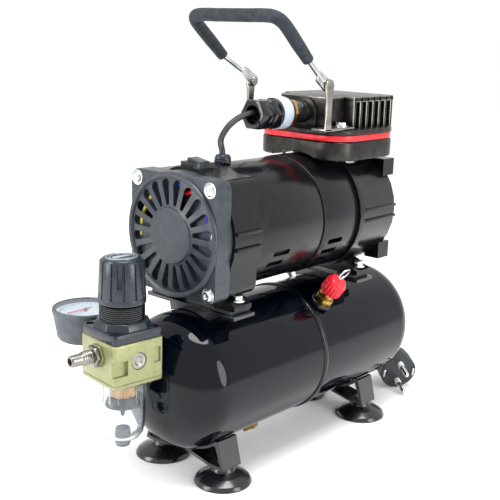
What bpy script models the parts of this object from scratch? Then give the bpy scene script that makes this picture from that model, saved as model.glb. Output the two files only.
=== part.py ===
"""Airbrush compressor: an oil-free piston pump and its motor on a small air tank.

The tank lies along X on four rubber suction cups. The motor sits on two saddles above it,
with its fan at the -X end and the pump's cylinder and head at the +X end. A filter regulator
hangs at the tank's -X dome. Sizes are in metres, +Z is up, and the floor is z = 0.
Places are measured from the middle of the tank, and the last step moves the whole object
so that the middle of its footprint is the origin.
"""

import math

import bmesh
import bpy
from mathutils import Matrix, Vector

# ---- Driving dimensions -------------------------------------------------------------------
GAP = 0.0003                    # clearance between two touching pieces
FOOTPRINT_MIDDLE = Vector((-0.03215, 0.00568, 0.0))

TANK_RADIUS = 0.052
TANK_WALL = 0.0016
TANK_HEIGHT = 0.075             # tank axis above the floor
TANK_STRAIGHT = 0.109           # half of the straight shell
TANK_DOME = 0.0354              # depth of each domed end

FOOT_X = (-0.097, 0.079)
FOOT_Y = 0.033
FOOT_RADIUS = 0.0219
BRACKET_WIDTH = 0.020
BRACKET_FLOOR = 0.0130          # underside of the bracket above the floor

MOTOR_HEIGHT = 0.187            # motor axis above the floor
MOTOR_RADIUS = 0.047
SADDLE_X = (-0.092, 0.056)
SADDLE_WIDTH = 0.022
SADDLE_HALF = 0.046
SADDLE_TOP = 0.1325
FAN_COVER_X = -0.123
BELL_START_X = -0.1057
BELL_END_X = -0.077
SEAM_X = -0.005
BAND_X = 0.0390
REAR_START_X = 0.0423
REAR_END_X = 0.094

CYLINDER_X = 0.055
CYLINDER_RADIUS = 0.028
BORE_RADIUS = 0.020
PLATE_BOTTOM = 0.232
PLATE_HALF = (0.0425, 0.0455)
PLATE_CORNER = 0.022
GASKET_BOTTOM = 0.2473
GASKET_THICKNESS = 0.0044
HEAD_BOTTOM = 0.252
HEAD_LEDGE = 0.256
HEAD_TOP = 0.281
HEAD_X = (0.024, 0.097)
HEAD_HALF = 0.036
PORT_HEIGHT = 0.268

PIVOT = Vector((0.0025, 0.0366, 0.291))
GRIP_END = Vector((-0.028, 0.0426, 0.310))
GRIP_CORNER = Vector((-0.063, 0.0436, 0.340))
WIRE_RADIUS = 0.0019
GRIP_RADIUS = 0.0048

REGULATOR = Vector((-0.1665, 0.0, 0.0))
REGULATOR_TURN = math.radians(-5.5)
BODY_HALF = 0.020
BODY_BOTTOM = 0.0923
BODY_TOP = 0.124
BONNET_TOP = 0.146
TANK_PORT_HEIGHT = 0.108
GAUGE_OFFSET = 0.0465
GAUGE_RADIUS = 0.024
GAUGE_TOP = 0.1325

CORD_RADIUS = 0.00325
COIL_CENTRE = Vector((0.022, 0.092, 0.0))
COIL_INNER = 0.028
COIL_OUTER = 0.0475
COIL_HEIGHT = 0.0130
PLUG_FACE = Vector((0.1515, -0.0261, 0.0174))
PLUG_TURN = math.radians(55.0)
PLUG_TILT = math.radians(15.0)  # the plug rests on its face's rim and its lower pin
PLUG_RADIUS = 0.0172

SWITCH_CABLE_RADIUS = 0.0023

SIDES = {"near": -1.0, "far": 1.0}
ENDS = {"left": 0, "right": 1}
X_AXIS = (0.0, math.pi / 2, 0.0)            # turns a piece's own +Z onto +X
Y_AXIS = (-math.pi / 2, 0.0, 0.0)           # turns a piece's own +Z onto +Y
ALONG_X = (math.pi / 2, 0.0, math.pi / 2)   # lays an outline in the YZ plane
ALONG_Y = (math.pi / 2, 0.0, 0.0)           # lays an outline in the XZ plane


# ---- Scene and material helpers -----------------------------------------------------------
def clear_scene():
    for obj in list(bpy.data.objects):
        bpy.data.objects.remove(obj, do_unlink=True)


def new_collection(name):
    collection = bpy.data.collections.new(name)
    bpy.context.scene.collection.children.link(collection)
    return collection


def make_material(name, colour, roughness, metallic=0.0):
    """A Principled material from an sRGB hex colour."""
    channels = [int(colour[i:i + 2], 16) / 255 for i in (1, 3, 5)]
    linear = [c / 12.92 if c <= 0.04045 else ((c + 0.055) / 1.055) ** 2.4 for c in channels]
    material = bpy.data.materials.new(name)
    material.use_nodes = True
    shader = material.node_tree.nodes["Principled BSDF"]
    shader.inputs["Base Color"].default_value = (*linear, 1.0)
    shader.inputs["Roughness"].default_value = roughness
    shader.inputs["Metallic"].default_value = metallic
    material.diffuse_color = (*linear, 1.0)
    return material


clear_scene()
PARTS = new_collection("airbrush_compressor")
CUTTERS = new_collection("cutters")

TANK_ENAMEL = make_material("tank_enamel", "#0a0f1a", 0.15)
BLACK_PAINT = make_material("black_paint", "#22252d", 0.35)
GREY_PLASTIC = make_material("grey_plastic", "#4b5663", 0.5)
RUBBER = make_material("rubber", "#14171b", 0.6)
GUNMETAL = make_material("gunmetal", "#55534f", 0.4, 0.8)
RED_GASKET = make_material("red_gasket", "#e6232e", 0.45)
STEEL = make_material("steel", "#b9bcc0", 0.3, 1.0)
BRASS = make_material("brass", "#b08d4a", 0.3, 1.0)
COPPER = make_material("copper", "#b5653a", 0.4, 1.0)
IRON = make_material("iron", "#6a6d72", 0.5, 0.9)
OLIVE_METAL = make_material("olive_metal", "#a5a87e", 0.4, 0.6)
BLACK_PLASTIC = make_material("black_plastic", "#1c2430", 0.35)
CLEAR_PLASTIC = make_material("clear_plastic", "#e6ebf0", 0.05)
PEACH_PLASTIC = make_material("peach_plastic", "#e8b98a", 0.6)
BAFFLE_PLASTIC = make_material("baffle_plastic", "#4a4d57", 0.5)
BLACK_CORD = make_material("black_cord", "#17191d", 0.5)
RED_PLASTIC = make_material("red_plastic", "#f0283a", 0.35)


# ---- Modelling helpers --------------------------------------------------------------------
def place(obj, material, centre, rotation, collection):
    obj.location = centre
    obj.rotation_euler = rotation
    if material:
        obj.data.materials.append(material)
    collection.objects.link(obj)
    return obj


def turned(name, material, profile, centre=(0, 0, 0), rotation=(0, 0, 0), steps=32,
           closed=False, collection=None):
    """Turn (radius, height) points about the piece's own Z, outer side from top to bottom."""
    points = [(radius, 0.0, height) for radius, height in profile]
    edges = [(i, i + 1) for i in range(len(points) - 1)]
    if closed:
        edges.append((len(points) - 1, 0))
    mesh = bpy.data.meshes.new(name)
    mesh.from_pydata(points, edges, [])
    obj = place(bpy.data.objects.new(name, mesh), material, centre, rotation, collection or PARTS)
    screw = obj.modifiers.new("Turn", "SCREW")
    screw.steps = steps
    screw.render_steps = steps
    screw.use_merge_vertices = True
    screw.merge_threshold = 0.00001
    screw.use_smooth_shade = True
    return obj


def plate(name, material, outlines, thickness, centre=(0, 0, 0), rotation=(0, 0, 0),
          collection=None):
    """A flat piece: the first outline is its edge, and the others are its holes."""
    curve = bpy.data.curves.new(name, "CURVE")
    curve.dimensions = "2D"
    curve.fill_mode = "BOTH"
    curve.extrude = thickness / 2
    for outline in outlines:
        spline = curve.splines.new("POLY")
        spline.points.add(len(outline) - 1)
        for point, (x, y) in zip(spline.points, outline):
            point.co = (x, y, 0.0, 1.0)
        spline.use_cyclic_u = True
    return place(bpy.data.objects.new(name, curve), material, centre, rotation,
                 collection or PARTS)


def tube(name, material, points, radius, bevel_resolution=2, collection=None):
    """A round wire or cord through the points, with its ends filled."""
    curve = bpy.data.curves.new(name, "CURVE")
    curve.dimensions = "3D"
    curve.bevel_depth = radius
    curve.bevel_resolution = bevel_resolution
    curve.use_fill_caps = True
    spline = curve.splines.new("POLY")
    spline.points.add(len(points) - 1)
    for target, point in zip(spline.points, points):
        target.co = (*point, 1.0)
    spline.use_smooth = True
    return place(bpy.data.objects.new(name, curve), material, (0, 0, 0), (0, 0, 0),
                 collection or PARTS)


def box(name, material, low, high, collection=None):
    """A box between two corners."""
    low = Vector(low)
    high = Vector(high)
    mesh = bpy.data.meshes.new(name)
    builder = bmesh.new()
    bmesh.ops.create_cube(builder, size=1.0)
    bmesh.ops.scale(builder, vec=high - low, verts=builder.verts)
    builder.to_mesh(mesh)
    builder.free()
    return place(bpy.data.objects.new(name, mesh), material, (low + high) / 2, (0, 0, 0),
                 collection or PARTS)


def rod(name, material, radius, start, end, centre=(0, 0, 0), rotation=(0, 0, 0), steps=16,
        collection=None):
    """A solid cylinder from start to end along the piece's own Z."""
    profile = [(0.0, end), (radius, end), (radius, start), (0.0, start)]
    return turned(name, material, profile, centre, rotation, steps, collection=collection)


def pipe(name, material, outer, inner, start, end, centre=(0, 0, 0), rotation=(0, 0, 0),
         steps=32, collection=None):
    """A hollow cylinder from start to end along the piece's own Z."""
    profile = [(outer, end), (outer, start), (inner, start), (inner, end)]
    return turned(name, material, profile, centre, rotation, steps, True, collection)


def as_mesh(obj):
    """Replace a curve by its mesh, with its caps welded, so that Booleans can use it."""
    bpy.context.view_layer.update()
    evaluated = obj.evaluated_get(bpy.context.evaluated_depsgraph_get())
    mesh = bpy.data.meshes.new_from_object(evaluated)
    builder = bmesh.new()
    builder.from_mesh(mesh)
    bmesh.ops.remove_doubles(builder, verts=builder.verts, dist=0.000001)
    bmesh.ops.recalc_face_normals(builder, faces=builder.faces)
    builder.to_mesh(mesh)
    builder.free()
    name = obj.name
    collection = obj.users_collection[0]
    matrix = obj.matrix_world.copy()
    bpy.data.objects.remove(obj, do_unlink=True)
    solid = bpy.data.objects.new(name, mesh)
    collection.objects.link(solid)
    solid.matrix_world = matrix
    return solid


def boolean(target, other, operation):
    modifier = target.modifiers.new(operation.title(), "BOOLEAN")
    modifier.operation = operation
    modifier.solver = "EXACT"
    modifier.use_self = True
    modifier.object = other
    other.hide_render = True
    other.display_type = "WIRE"


def cut(target, cutter):
    boolean(target, cutter, "DIFFERENCE")


def join(target, addition):
    boolean(target, addition, "UNION")


def circle(radius, steps, centre=(0.0, 0.0), start=0.0):
    """Points of a circle, as an outline."""
    return [(centre[0] + radius * math.cos(start + 2 * math.pi * i / steps),
             centre[1] + radius * math.sin(start + 2 * math.pi * i / steps))
            for i in range(steps)]


def arc(radius, first, last, steps, centre=(0.0, 0.0)):
    """Points of an arc between two angles in degrees, both ends included."""
    angles = [math.radians(first + (last - first) * i / steps) for i in range(steps + 1)]
    return [(centre[0] + radius * math.cos(a), centre[1] + radius * math.sin(a)) for a in angles]


def rounded_rectangle(half_x, half_y, corner, steps=5, centre=(0.0, 0.0)):
    """Outline of a rectangle with round corners."""
    outline = []
    for index, (sx, sy) in enumerate(((1, 1), (-1, 1), (-1, -1), (1, -1))):
        middle = (centre[0] + sx * (half_x - corner), centre[1] + sy * (half_y - corner))
        outline += arc(corner, 90 * index, 90 * index + 90, steps, middle)
    return outline


def smooth_route(points, spacing):
    """Points at an even spacing along a smooth curve through the given points."""
    knots = [Vector(p) for p in points]
    padded = [2 * knots[0] - knots[1]] + knots + [2 * knots[-1] - knots[-2]]
    fine = []
    for i in range(1, len(padded) - 2):
        before, start, end, after = padded[i - 1:i + 3]
        for step in range(20):
            t = step / 20
            fine.append(0.5 * (2 * start + (end - before) * t
                               + (2 * before - 5 * start + 4 * end - after) * t ** 2
                               + (3 * start - before - 3 * end + after) * t ** 3))
    fine.append(knots[-1])
    lengths = [0.0]
    for a, b in zip(fine, fine[1:]):
        lengths.append(lengths[-1] + (b - a).length)
    count = max(2, round(lengths[-1] / spacing))
    route = []
    position = 0
    for i in range(count + 1):
        wanted = lengths[-1] * i / count
        while position < len(fine) - 2 and lengths[position + 1] < wanted:
            position += 1
        share = (wanted - lengths[position]) / (lengths[position + 1] - lengths[position])
        route.append(fine[position].lerp(fine[position + 1], share))
    return route


def mirrored(points):
    """The same points at -y, in reverse order, to close a symmetric outline."""
    return [(-x, y) for x, y in reversed(points)]


# ---- Air tank -----------------------------------------------------------------------------
def dome_profile(radius, depth, sign, from_rim, steps=5):
    """Quarter ellipse of a domed end, either from its rim to its tip or back."""
    points = []
    for i in range(steps + 1):
        angle = math.pi / 2 * i / steps
        points.append((radius * math.cos(angle), sign * (TANK_STRAIGHT + depth * math.sin(angle))))
    points[-1] = (0.0, points[-1][1])
    return points if from_rim else points[::-1]


def make_tank():
    """Two pressed cups. The left one's lip is joggled, and slips inside the right one."""
    inside = TANK_RADIUS - TANK_WALL
    lip = inside - GAP
    axis = (0.0, 0.0, TANK_HEIGHT)
    left = dome_profile(inside, TANK_DOME - TANK_WALL, -1, False)
    left += [(inside, -0.008), (lip - TANK_WALL, -0.006), (lip - TANK_WALL, 0.005), (lip, 0.005),
             (lip, -GAP / 2), (TANK_RADIUS, -GAP / 2)]
    left += dome_profile(TANK_RADIUS, TANK_DOME, -1, True)
    left_half = turned("tank_left_half", TANK_ENAMEL, left, axis, X_AXIS, 24)

    right = dome_profile(TANK_RADIUS, TANK_DOME, 1, False)
    right += [(TANK_RADIUS, GAP / 2), (inside, GAP / 2)]
    right += dome_profile(inside, TANK_DOME - TANK_WALL, 1, True)
    right_half = turned("tank_right_half", TANK_ENAMEL, right, axis, X_AXIS, 24)

    port_hole = rod("tank_port_hole", None, 0.0064, -0.150, -0.120,
                    (0.0, 0.0, TANK_PORT_HEIGHT), X_AXIS, 16, CUTTERS)
    cut(left_half, port_hole)
    profile = [(0.0060, -0.1280), (0.0060, -0.1417), (0.0110, -0.1417), (0.0110, -0.1451),
               (0.0060, -0.1451), (0.0060, -0.1500), (0.0040, -0.1500), (0.0040, -0.1280)]
    turned("tank_nipple", BLACK_PAINT, profile, (0.0, 0.0, TANK_PORT_HEIGHT), X_AXIS, 20, True)
    return left_half, right_half


VALVE_X = 0.014
VALVE_LEAN = math.radians(38.0)
RING_LIFT = 0.0365              # centre of the pull ring above the tank's surface


def make_safety_valve(right_half):
    """Relief valve on the tank's near upper side, with a ring that pulls its stem."""
    rotation = (VALVE_LEAN, 0.0, 0.0)
    outward = Vector((0.0, -math.sin(VALVE_LEAN), math.cos(VALVE_LEAN)))
    foot = Vector((VALVE_X, 0.0, TANK_HEIGHT)) + outward * TANK_RADIUS
    cut(right_half, rod("valve_hole", None, 0.0044, -0.006, 0.004, foot, rotation, 16, CUTTERS))
    profile = [(0.0, 0.024), (0.0017, 0.024), (0.0017, 0.030), (0.0062, 0.030), (0.0088, 0.027),
               (0.0088, 0.016), (0.0066, 0.0145), (0.0066, 0.011), (0.0082, 0.0105),
               (0.0082, 0.004), (0.0098, 0.004), (0.0098, 0.0008), (0.0040, 0.0008),
               (0.0040, -0.004), (0.0, -0.004)]
    turned("safety_valve", BRASS, profile, foot, rotation, 16)
    ring = pipe("safety_valve_ring", STEEL, 0.0062, 0.0046, -0.0008, 0.0008,
                foot + outward * RING_LIFT, (VALVE_LEAN + math.pi / 2, 0.0, 0.0), 20)
    stem = rod("ring_stem", None, 0.0012, 0.0255, RING_LIFT - 0.0050, foot, rotation, 10, CUTTERS)
    join(ring, stem)


def make_drain_cock(left_half):
    """Screw under the tank that lets the condensate out."""
    place_x = -0.030
    hole = rod("drain_hole", None, 0.0034, 0.018, 0.030, (place_x, 0, 0), (0, 0, 0), 12, CUTTERS)
    cut(left_half, hole)
    profile = [(0.0, 0.0275), (0.0030, 0.0275), (0.0030, 0.0222), (0.0062, 0.0222),
               (0.0062, 0.0165), (0.0040, 0.0160), (0.0040, 0.0105), (0.0, 0.0105)]
    screw = turned("tank_drain_cock", BRASS, profile, (place_x, 0.0, 0.0), (0, 0, 0), 12)
    wing = box("drain_wing", None, (place_x - 0.008, -0.0012, 0.0095),
               (place_x + 0.008, 0.0012, 0.0145), CUTTERS)
    join(screw, wing)


# ---- Feet and saddles ---------------------------------------------------------------------
def make_foot_bracket(name, x):
    """Bent steel strip across the tank's underside, one loop for each foot."""
    hug = TANK_RADIUS + GAP
    middle = (0.0, TANK_HEIGHT)
    top = arc(hug, -90 - 40.5, -90, 8, middle)
    side = [(0.0, BRACKET_FLOOR + 0.0049), (-0.026, BRACKET_FLOOR), (-0.0424, BRACKET_FLOOR),
            (-0.0366, 0.0352)]
    half = side + top
    outline = half[:-1] + [top[-1]] + mirrored(half[1:-1])
    window = arc(hug + 0.0024, -90 - 37.0, -90 - 9.0, 4, middle)
    window += [(-0.0086, BRACKET_FLOOR + 0.0058), (-0.0263, BRACKET_FLOOR + 0.00245),
               (-0.0394, BRACKET_FLOOR + 0.00245)]
    other = [(-y, z) for y, z in reversed(window)]
    plate(name, BLACK_PAINT, [outline, window, other], BRACKET_WIDTH, (x, 0, 0), ALONG_X)


def make_feet():
    profile = [(0.0, 0.0127), (0.0080, 0.0127), (0.0092, 0.0095), (0.0150, 0.0070),
               (0.0203, 0.0036), (FOOT_RADIUS, 0.0010), (FOOT_RADIUS, 0.0), (0.0196, 0.0),
               (0.0130, 0.0024), (0.0, 0.0040)]
    for end, index in ENDS.items():
        make_foot_bracket(f"{end}_foot_bracket", FOOT_X[index])
        for side, sign in SIDES.items():
            turned(f"foot_{end}_{side}", RUBBER, profile,
                   (FOOT_X[index], sign * FOOT_Y, 0.0), (0, 0, 0), 16)


def make_saddles():
    """Plates welded to the tank's crown, whose wings carry the motor's feet."""
    hug = TANK_RADIUS + GAP
    spread = 22.0
    under = arc(hug, 90 - spread, 90 + spread, 6, (0.0, TANK_HEIGHT))
    wing = SADDLE_TOP - 0.0030
    outline = [(SADDLE_HALF, SADDLE_TOP), (-SADDLE_HALF, SADDLE_TOP), (-SADDLE_HALF, wing),
               (-0.021, wing)]
    outline += under[::-1] + [(0.021, wing), (SADDLE_HALF, wing)]
    for end, index in ENDS.items():
        plate(f"{end}_saddle", BLACK_PAINT, [outline], SADDLE_WIDTH,
              (SADDLE_X[index], 0, 0), ALONG_X)


def motor_foot_outline(radius):
    """Cast foot: wide on the saddle, narrower where it meets the motor."""
    base = SADDLE_TOP + 0.0030
    crown = arc(radius, -90 - 32, -90 + 32, 6, (0.0, MOTOR_HEIGHT))
    return [(-0.044, base + 0.0035), (-0.044, base), (0.044, base), (0.044, base + 0.0035),
            (0.031, base + 0.0102)] + crown[::-1] + [(-0.031, base + 0.0102)]


# ---- Motor --------------------------------------------------------------------------------
def cover_outline(radius, ear, corner):
    """Circle with four rounded ears, drawn one quarter at a time."""
    reach = math.sqrt(radius ** 2 - ear ** 2)
    angle = math.degrees(math.atan2(reach, ear))
    outline = []
    for quarter in range(4):
        turn = math.radians(90 * quarter)
        points = arc(radius, -angle, angle, 4)
        middle = ear - corner
        points += arc(corner, 0, 90, 3, (middle, middle))
        outline += [(x * math.cos(turn) - y * math.sin(turn),
                     x * math.sin(turn) + y * math.cos(turn)) for x, y in points]
    return outline


def slot_outline(angle):
    """Teardrop slot that widens outwards and ends in a round."""
    inner, outer, narrow, wide = 0.0215, 0.0375, 0.0010, 0.0030
    points = [(inner, -narrow), (outer, -wide)]
    points += arc(wide, -50, 50, 1, (outer + 0.0004, 0.0))
    points += [(outer, wide), (inner, narrow)]
    return [(x * math.cos(angle) - y * math.sin(angle),
             x * math.sin(angle) + y * math.cos(angle)) for x, y in points]


def make_fan_cover():
    """Plastic grille with twenty radial slots, and a rim that reaches back to the motor."""
    outline = cover_outline(0.0455, 0.0435, 0.008)
    slots = [slot_outline(math.radians(18 * i)) for i in range(20)]
    grille = plate("fan_cover", GREY_PLASTIC, [outline] + slots, 0.003,
                   (FAN_COVER_X + 0.0015, 0, MOTOR_HEIGHT), ALONG_X)
    grille = as_mesh(grille)
    depth = BELL_START_X - GAP - FAN_COVER_X - 0.002
    rim_outline = cover_outline(0.0452, 0.0432, 0.008)
    rim = plate("cover_rim", None, [rim_outline, circle(0.0415, 24)], depth,
                (FAN_COVER_X + 0.002 + depth / 2, 0, MOTOR_HEIGHT), ALONG_X, CUTTERS)
    join(grille, as_mesh(rim))


def make_front_bell():
    """Cast end bell with the fan bearing's spider, a switch pocket and the front feet."""
    length = BELL_END_X - BELL_START_X
    outline = cover_outline(0.0480, 0.0425, 0.008)
    middle = ((BELL_START_X + BELL_END_X) / 2, 0.0, MOTOR_HEIGHT)
    bell = as_mesh(plate("front_bell", BLACK_PAINT, [outline, circle(0.0420, 24)], length,
                         middle, ALONG_X))
    pocket = box("switch_pocket", None, (-0.1038, -0.0108, MOTOR_HEIGHT + 0.036),
                 (-0.0882, 0.0108, MOTOR_HEIGHT + 0.060), CUTTERS)
    cut(bell, pocket)
    windows = []
    for i in range(6):
        turn = 60 * i
        windows.append(arc(0.036, turn - 20, turn + 20, 4)
                       + arc(0.017, turn - 14, turn + 14, 3)[::-1])
    spider = plate("bell_spider", None, [circle(0.0430, 24), circle(0.0113, 20)] + windows, 0.004,
                   (BELL_END_X - 0.0030, 0.0, MOTOR_HEIGHT), ALONG_X, CUTTERS)
    join(bell, as_mesh(spider))
    foot = plate("bell_foot", None, [motor_foot_outline(0.0445)], 0.018,
                 (SADDLE_X[0], 0, 0), ALONG_X, CUTTERS)
    join(bell, as_mesh(foot))


def vent_cutter(name, centre_x):
    """Three slanted louvres low on the near side of the barrel."""
    mesh = bpy.data.meshes.new(name)
    builder = bmesh.new()
    for row, angle in enumerate((-20, -31, -42)):
        along = centre_x - 0.0035 * row
        shape = Matrix.Translation((along, 0, MOTOR_HEIGHT)) @ Matrix.Rotation(
            math.radians(-angle), 4, "X") @ Matrix.Translation((0, -MOTOR_RADIUS, 0))
        size = Matrix.Diagonal((0.0150, 0.0120, 0.0038, 1.0))
        bmesh.ops.create_cube(builder, size=1.0, matrix=shape @ size)
    builder.to_mesh(mesh)
    builder.free()
    return place(bpy.data.objects.new(name, mesh), None, (0, 0, 0), (0, 0, 0), CUTTERS)


def make_motor_shells():
    axis = (0.0, 0.0, MOTOR_HEIGHT)
    inner = MOTOR_RADIUS - 0.0025
    left = pipe("motor_shell_left", BLACK_PAINT, MOTOR_RADIUS, inner, BELL_END_X + GAP,
                SEAM_X, axis, X_AXIS, 28)
    cut(left, vent_cutter("left_vents", -0.0630))
    right = pipe("motor_shell_right", BLACK_PAINT, MOTOR_RADIUS + 0.0008, inner, SEAM_X + GAP,
                 BAND_X, axis, X_AXIS, 28)
    cut(right, vent_cutter("right_vents", 0.0130))
    well = rod("cylinder_well", None, CYLINDER_RADIUS + GAP, 0.195, 0.260, (CYLINDER_X, 0, 0),
               (0, 0, 0), 32, CUTTERS)
    cut(right, well)

    wall = 0.0035
    outer = 0.0490
    profile = [(0.0, REAR_END_X), (0.0440, REAR_END_X), (outer, REAR_END_X - 0.005),
               (outer, REAR_START_X + 0.004), (0.0502, REAR_START_X + 0.003),
               (0.0502, BAND_X + GAP), (outer - wall - 0.001, BAND_X + GAP),
               (outer - wall - 0.001, REAR_END_X - 0.010), (0.0115, REAR_END_X - 0.010),
               (0.0115, REAR_END_X - 0.003), (0.0, REAR_END_X - 0.003)]
    rear = turned("rear_cover", BLACK_PAINT, profile, axis, X_AXIS, 28)
    for name, sy, sz in (("a", -1, 1), ("b", 1, 1), ("c", -1, -1), ("d", 1, -1)):
        middle = Vector((REAR_END_X - 0.008, sy * 0.0355, MOTOR_HEIGHT + sz * 0.0355))
        half = Vector((0.0075, 0.0070, 0.0070))
        join(rear, box(f"rear_ear_{name}", None, middle - half, middle + half, CUTTERS))
    foot = plate("rear_foot", None, [motor_foot_outline(0.0470)], 0.018,
                 (SADDLE_X[1], 0, 0), ALONG_X, CUTTERS)
    join(rear, as_mesh(foot))
    cut(rear, well)


def make_motor_inside():
    """Stator, rotor, shaft, fan and bearings, all on the motor's axis."""
    axis = (0.0, 0.0, MOTOR_HEIGHT)
    stator_x = (-0.062, -0.022)
    pipe("stator_core", IRON, MOTOR_RADIUS - 0.0028, 0.0245, *stator_x, axis, X_AXIS, 32)
    pipe("stator_winding", COPPER, 0.0400, 0.0270, stator_x[1] + GAP, stator_x[1] + 0.010,
         axis, X_AXIS, 24)
    pipe("rotor_core", IRON, 0.0240, 0.0053, *stator_x, axis, X_AXIS, 24)
    rod("motor_shaft", STEEL, 0.0050, -0.116, REAR_END_X - 0.004, axis, X_AXIS, 16)
    pipe("front_bearing", STEEL, 0.0110, 0.0053, BELL_END_X - 0.0075, BELL_END_X - 0.0005,
         axis, X_AXIS, 20)
    pipe("rear_bearing", STEEL, 0.0112, 0.0053, REAR_END_X - 0.0095, REAR_END_X - 0.0045,
         axis, X_AXIS, 20)

    outline = []
    blades = 7
    for i in range(blades):
        turn = 360 / blades * i
        outline += arc(0.0095, turn - 18, turn - 8, 2)
        outline += arc(0.0380, turn - 3, turn + 9, 3)
        outline += arc(0.0095, turn + 10, turn + 16, 1)
    plate("cooling_fan", GREY_PLASTIC, [outline, circle(0.0053, 16)], 0.007,
          (-0.111, 0.0, MOTOR_HEIGHT), ALONG_X)


# ---- Pump ---------------------------------------------------------------------------------
def make_pump():
    """Eccentric, rocking piston, cylinder, valve plate, gasket and finned head."""
    plate("crank_eccentric", STEEL, [circle(0.0105, 24, (0.0, 0.0040)), circle(0.0053, 16)],
          0.008, (CYLINDER_X, 0.0, MOTOR_HEIGHT), ALONG_X)

    eye = pipe("connecting_rod", GUNMETAL, 0.0185, 0.0150, -0.004, 0.004,
               (CYLINDER_X, 0.0, MOTOR_HEIGHT), X_AXIS, 24)
    web = box("rod_web", None, (CYLINDER_X - 0.003, -0.0055, MOTOR_HEIGHT + 0.0165),
              (CYLINDER_X + 0.003, 0.0055, MOTOR_HEIGHT + 0.033), CUTTERS)
    join(eye, web)
    crown = rod("piston_crown", None, BORE_RADIUS - 0.0006, 0.219, 0.224, (CYLINDER_X, 0, 0),
                (0, 0, 0), 24, CUTTERS)
    join(eye, crown)

    pipe("cylinder", GUNMETAL, CYLINDER_RADIUS, BORE_RADIUS, 0.2090, PLATE_BOTTOM - GAP,
         (CYLINDER_X, 0, 0), (0, 0, 0), 32)

    outline = rounded_rectangle(*PLATE_HALF, PLATE_CORNER, 6)
    height = GASKET_BOTTOM - GAP - PLATE_BOTTOM
    valve_plate = plate("valve_plate", GUNMETAL, [outline, circle(0.004, 10, (0.012, 0.0)),
                                                  circle(0.004, 10, (-0.012, 0.0))], height,
                        (CYLINDER_X, 0, PLATE_BOTTOM + height / 2))
    valve_plate = as_mesh(valve_plate)
    bevel = valve_plate.modifiers.new("Rounded underside", "BEVEL")
    bevel.width = 0.0015
    bevel.segments = 1
    bevel.limit_method = "ANGLE"
    bevel.angle_limit = math.radians(60)
    relief = rod("motor_relief", None, 0.0506, 0.0, 0.110, (0, 0, MOTOR_HEIGHT), X_AXIS, 28,
                 CUTTERS)
    cut(relief, rod("relief_plug", None, CYLINDER_RADIUS, 0.150, 0.260, (CYLINDER_X, 0, 0),
                    (0, 0, 0), 32, CUTTERS))
    cut(valve_plate, relief)

    seal = rounded_rectangle(PLATE_HALF[0] - 0.0006, PLATE_HALF[1] - 0.0006, PLATE_CORNER, 6)
    plate("head_gasket", RED_GASKET, [seal, rounded_rectangle(0.024, 0.024, 0.010, 3)],
          GASKET_THICKNESS, (CYLINDER_X, 0, GASKET_BOTTOM + GASKET_THICKNESS / 2))
    make_head(outline)


def make_head(outline):
    """Finned head: a flat ledge, a block with cooling slots, and the outlet boss."""
    base = HEAD_LEDGE - HEAD_BOTTOM
    head = as_mesh(plate("cylinder_head", GUNMETAL, [outline], base,
                         (CYLINDER_X, 0, HEAD_BOTTOM + base / 2)))
    middle_x = (HEAD_X[0] + HEAD_X[1]) / 2
    half_x = (HEAD_X[1] - HEAD_X[0]) / 2
    block = as_mesh(plate("head_block", None, [rounded_rectangle(half_x, HEAD_HALF, 0.006, 2)],
                          HEAD_TOP - HEAD_LEDGE + 0.001,
                          (middle_x, 0, (HEAD_TOP + HEAD_LEDGE - 0.001) / 2), (0, 0, 0), CUTTERS))
    join(head, block)
    boss = rod("outlet_boss", None, 0.0090, 0.0160, 0.0300, (0, 0, PORT_HEIGHT), X_AXIS, 20,
               CUTTERS)
    join(head, boss)

    mesh = bpy.data.meshes.new("fin_slots")
    builder = bmesh.new()
    slot = Vector((0.0052, 0.0220, HEAD_TOP - 0.004 - HEAD_LEDGE - 0.001))
    height = HEAD_LEDGE + 0.001 + slot.z / 2
    for sign in SIDES.values():
        for i in range(6):
            centre = Vector((0.0470 + 0.0086 * i, sign * (HEAD_HALF - 0.0060), height))
            shape = Matrix.Translation(centre) @ Matrix.Diagonal((*slot, 1.0))
            bmesh.ops.create_cube(builder, size=1.0, matrix=shape)
        notch = Matrix.Translation((0.0295, sign * 0.0360, HEAD_LEDGE + 0.0150))
        size = Matrix.Diagonal((0.0230, 0.0220, 0.0300, 1.0))
        bmesh.ops.create_cube(builder, size=1.0, matrix=notch @ size)
    builder.to_mesh(mesh)
    builder.free()
    slots = place(bpy.data.objects.new("fin_slots", mesh), None, (0, 0, 0), (0, 0, 0), CUTTERS)
    cut(head, slots)
    cut(head, rod("outlet_chamber", None, 0.0160, HEAD_BOTTOM - 0.002, PORT_HEIGHT + 0.002,
                  (CYLINDER_X, 0, 0), (0, 0, 0), 20, CUTTERS))
    cut(head, rod("outlet_bore", None, 0.0042, 0.010, CYLINDER_X - 0.010, (0, 0, PORT_HEIGHT),
                  X_AXIS, 12, CUTTERS))


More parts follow.
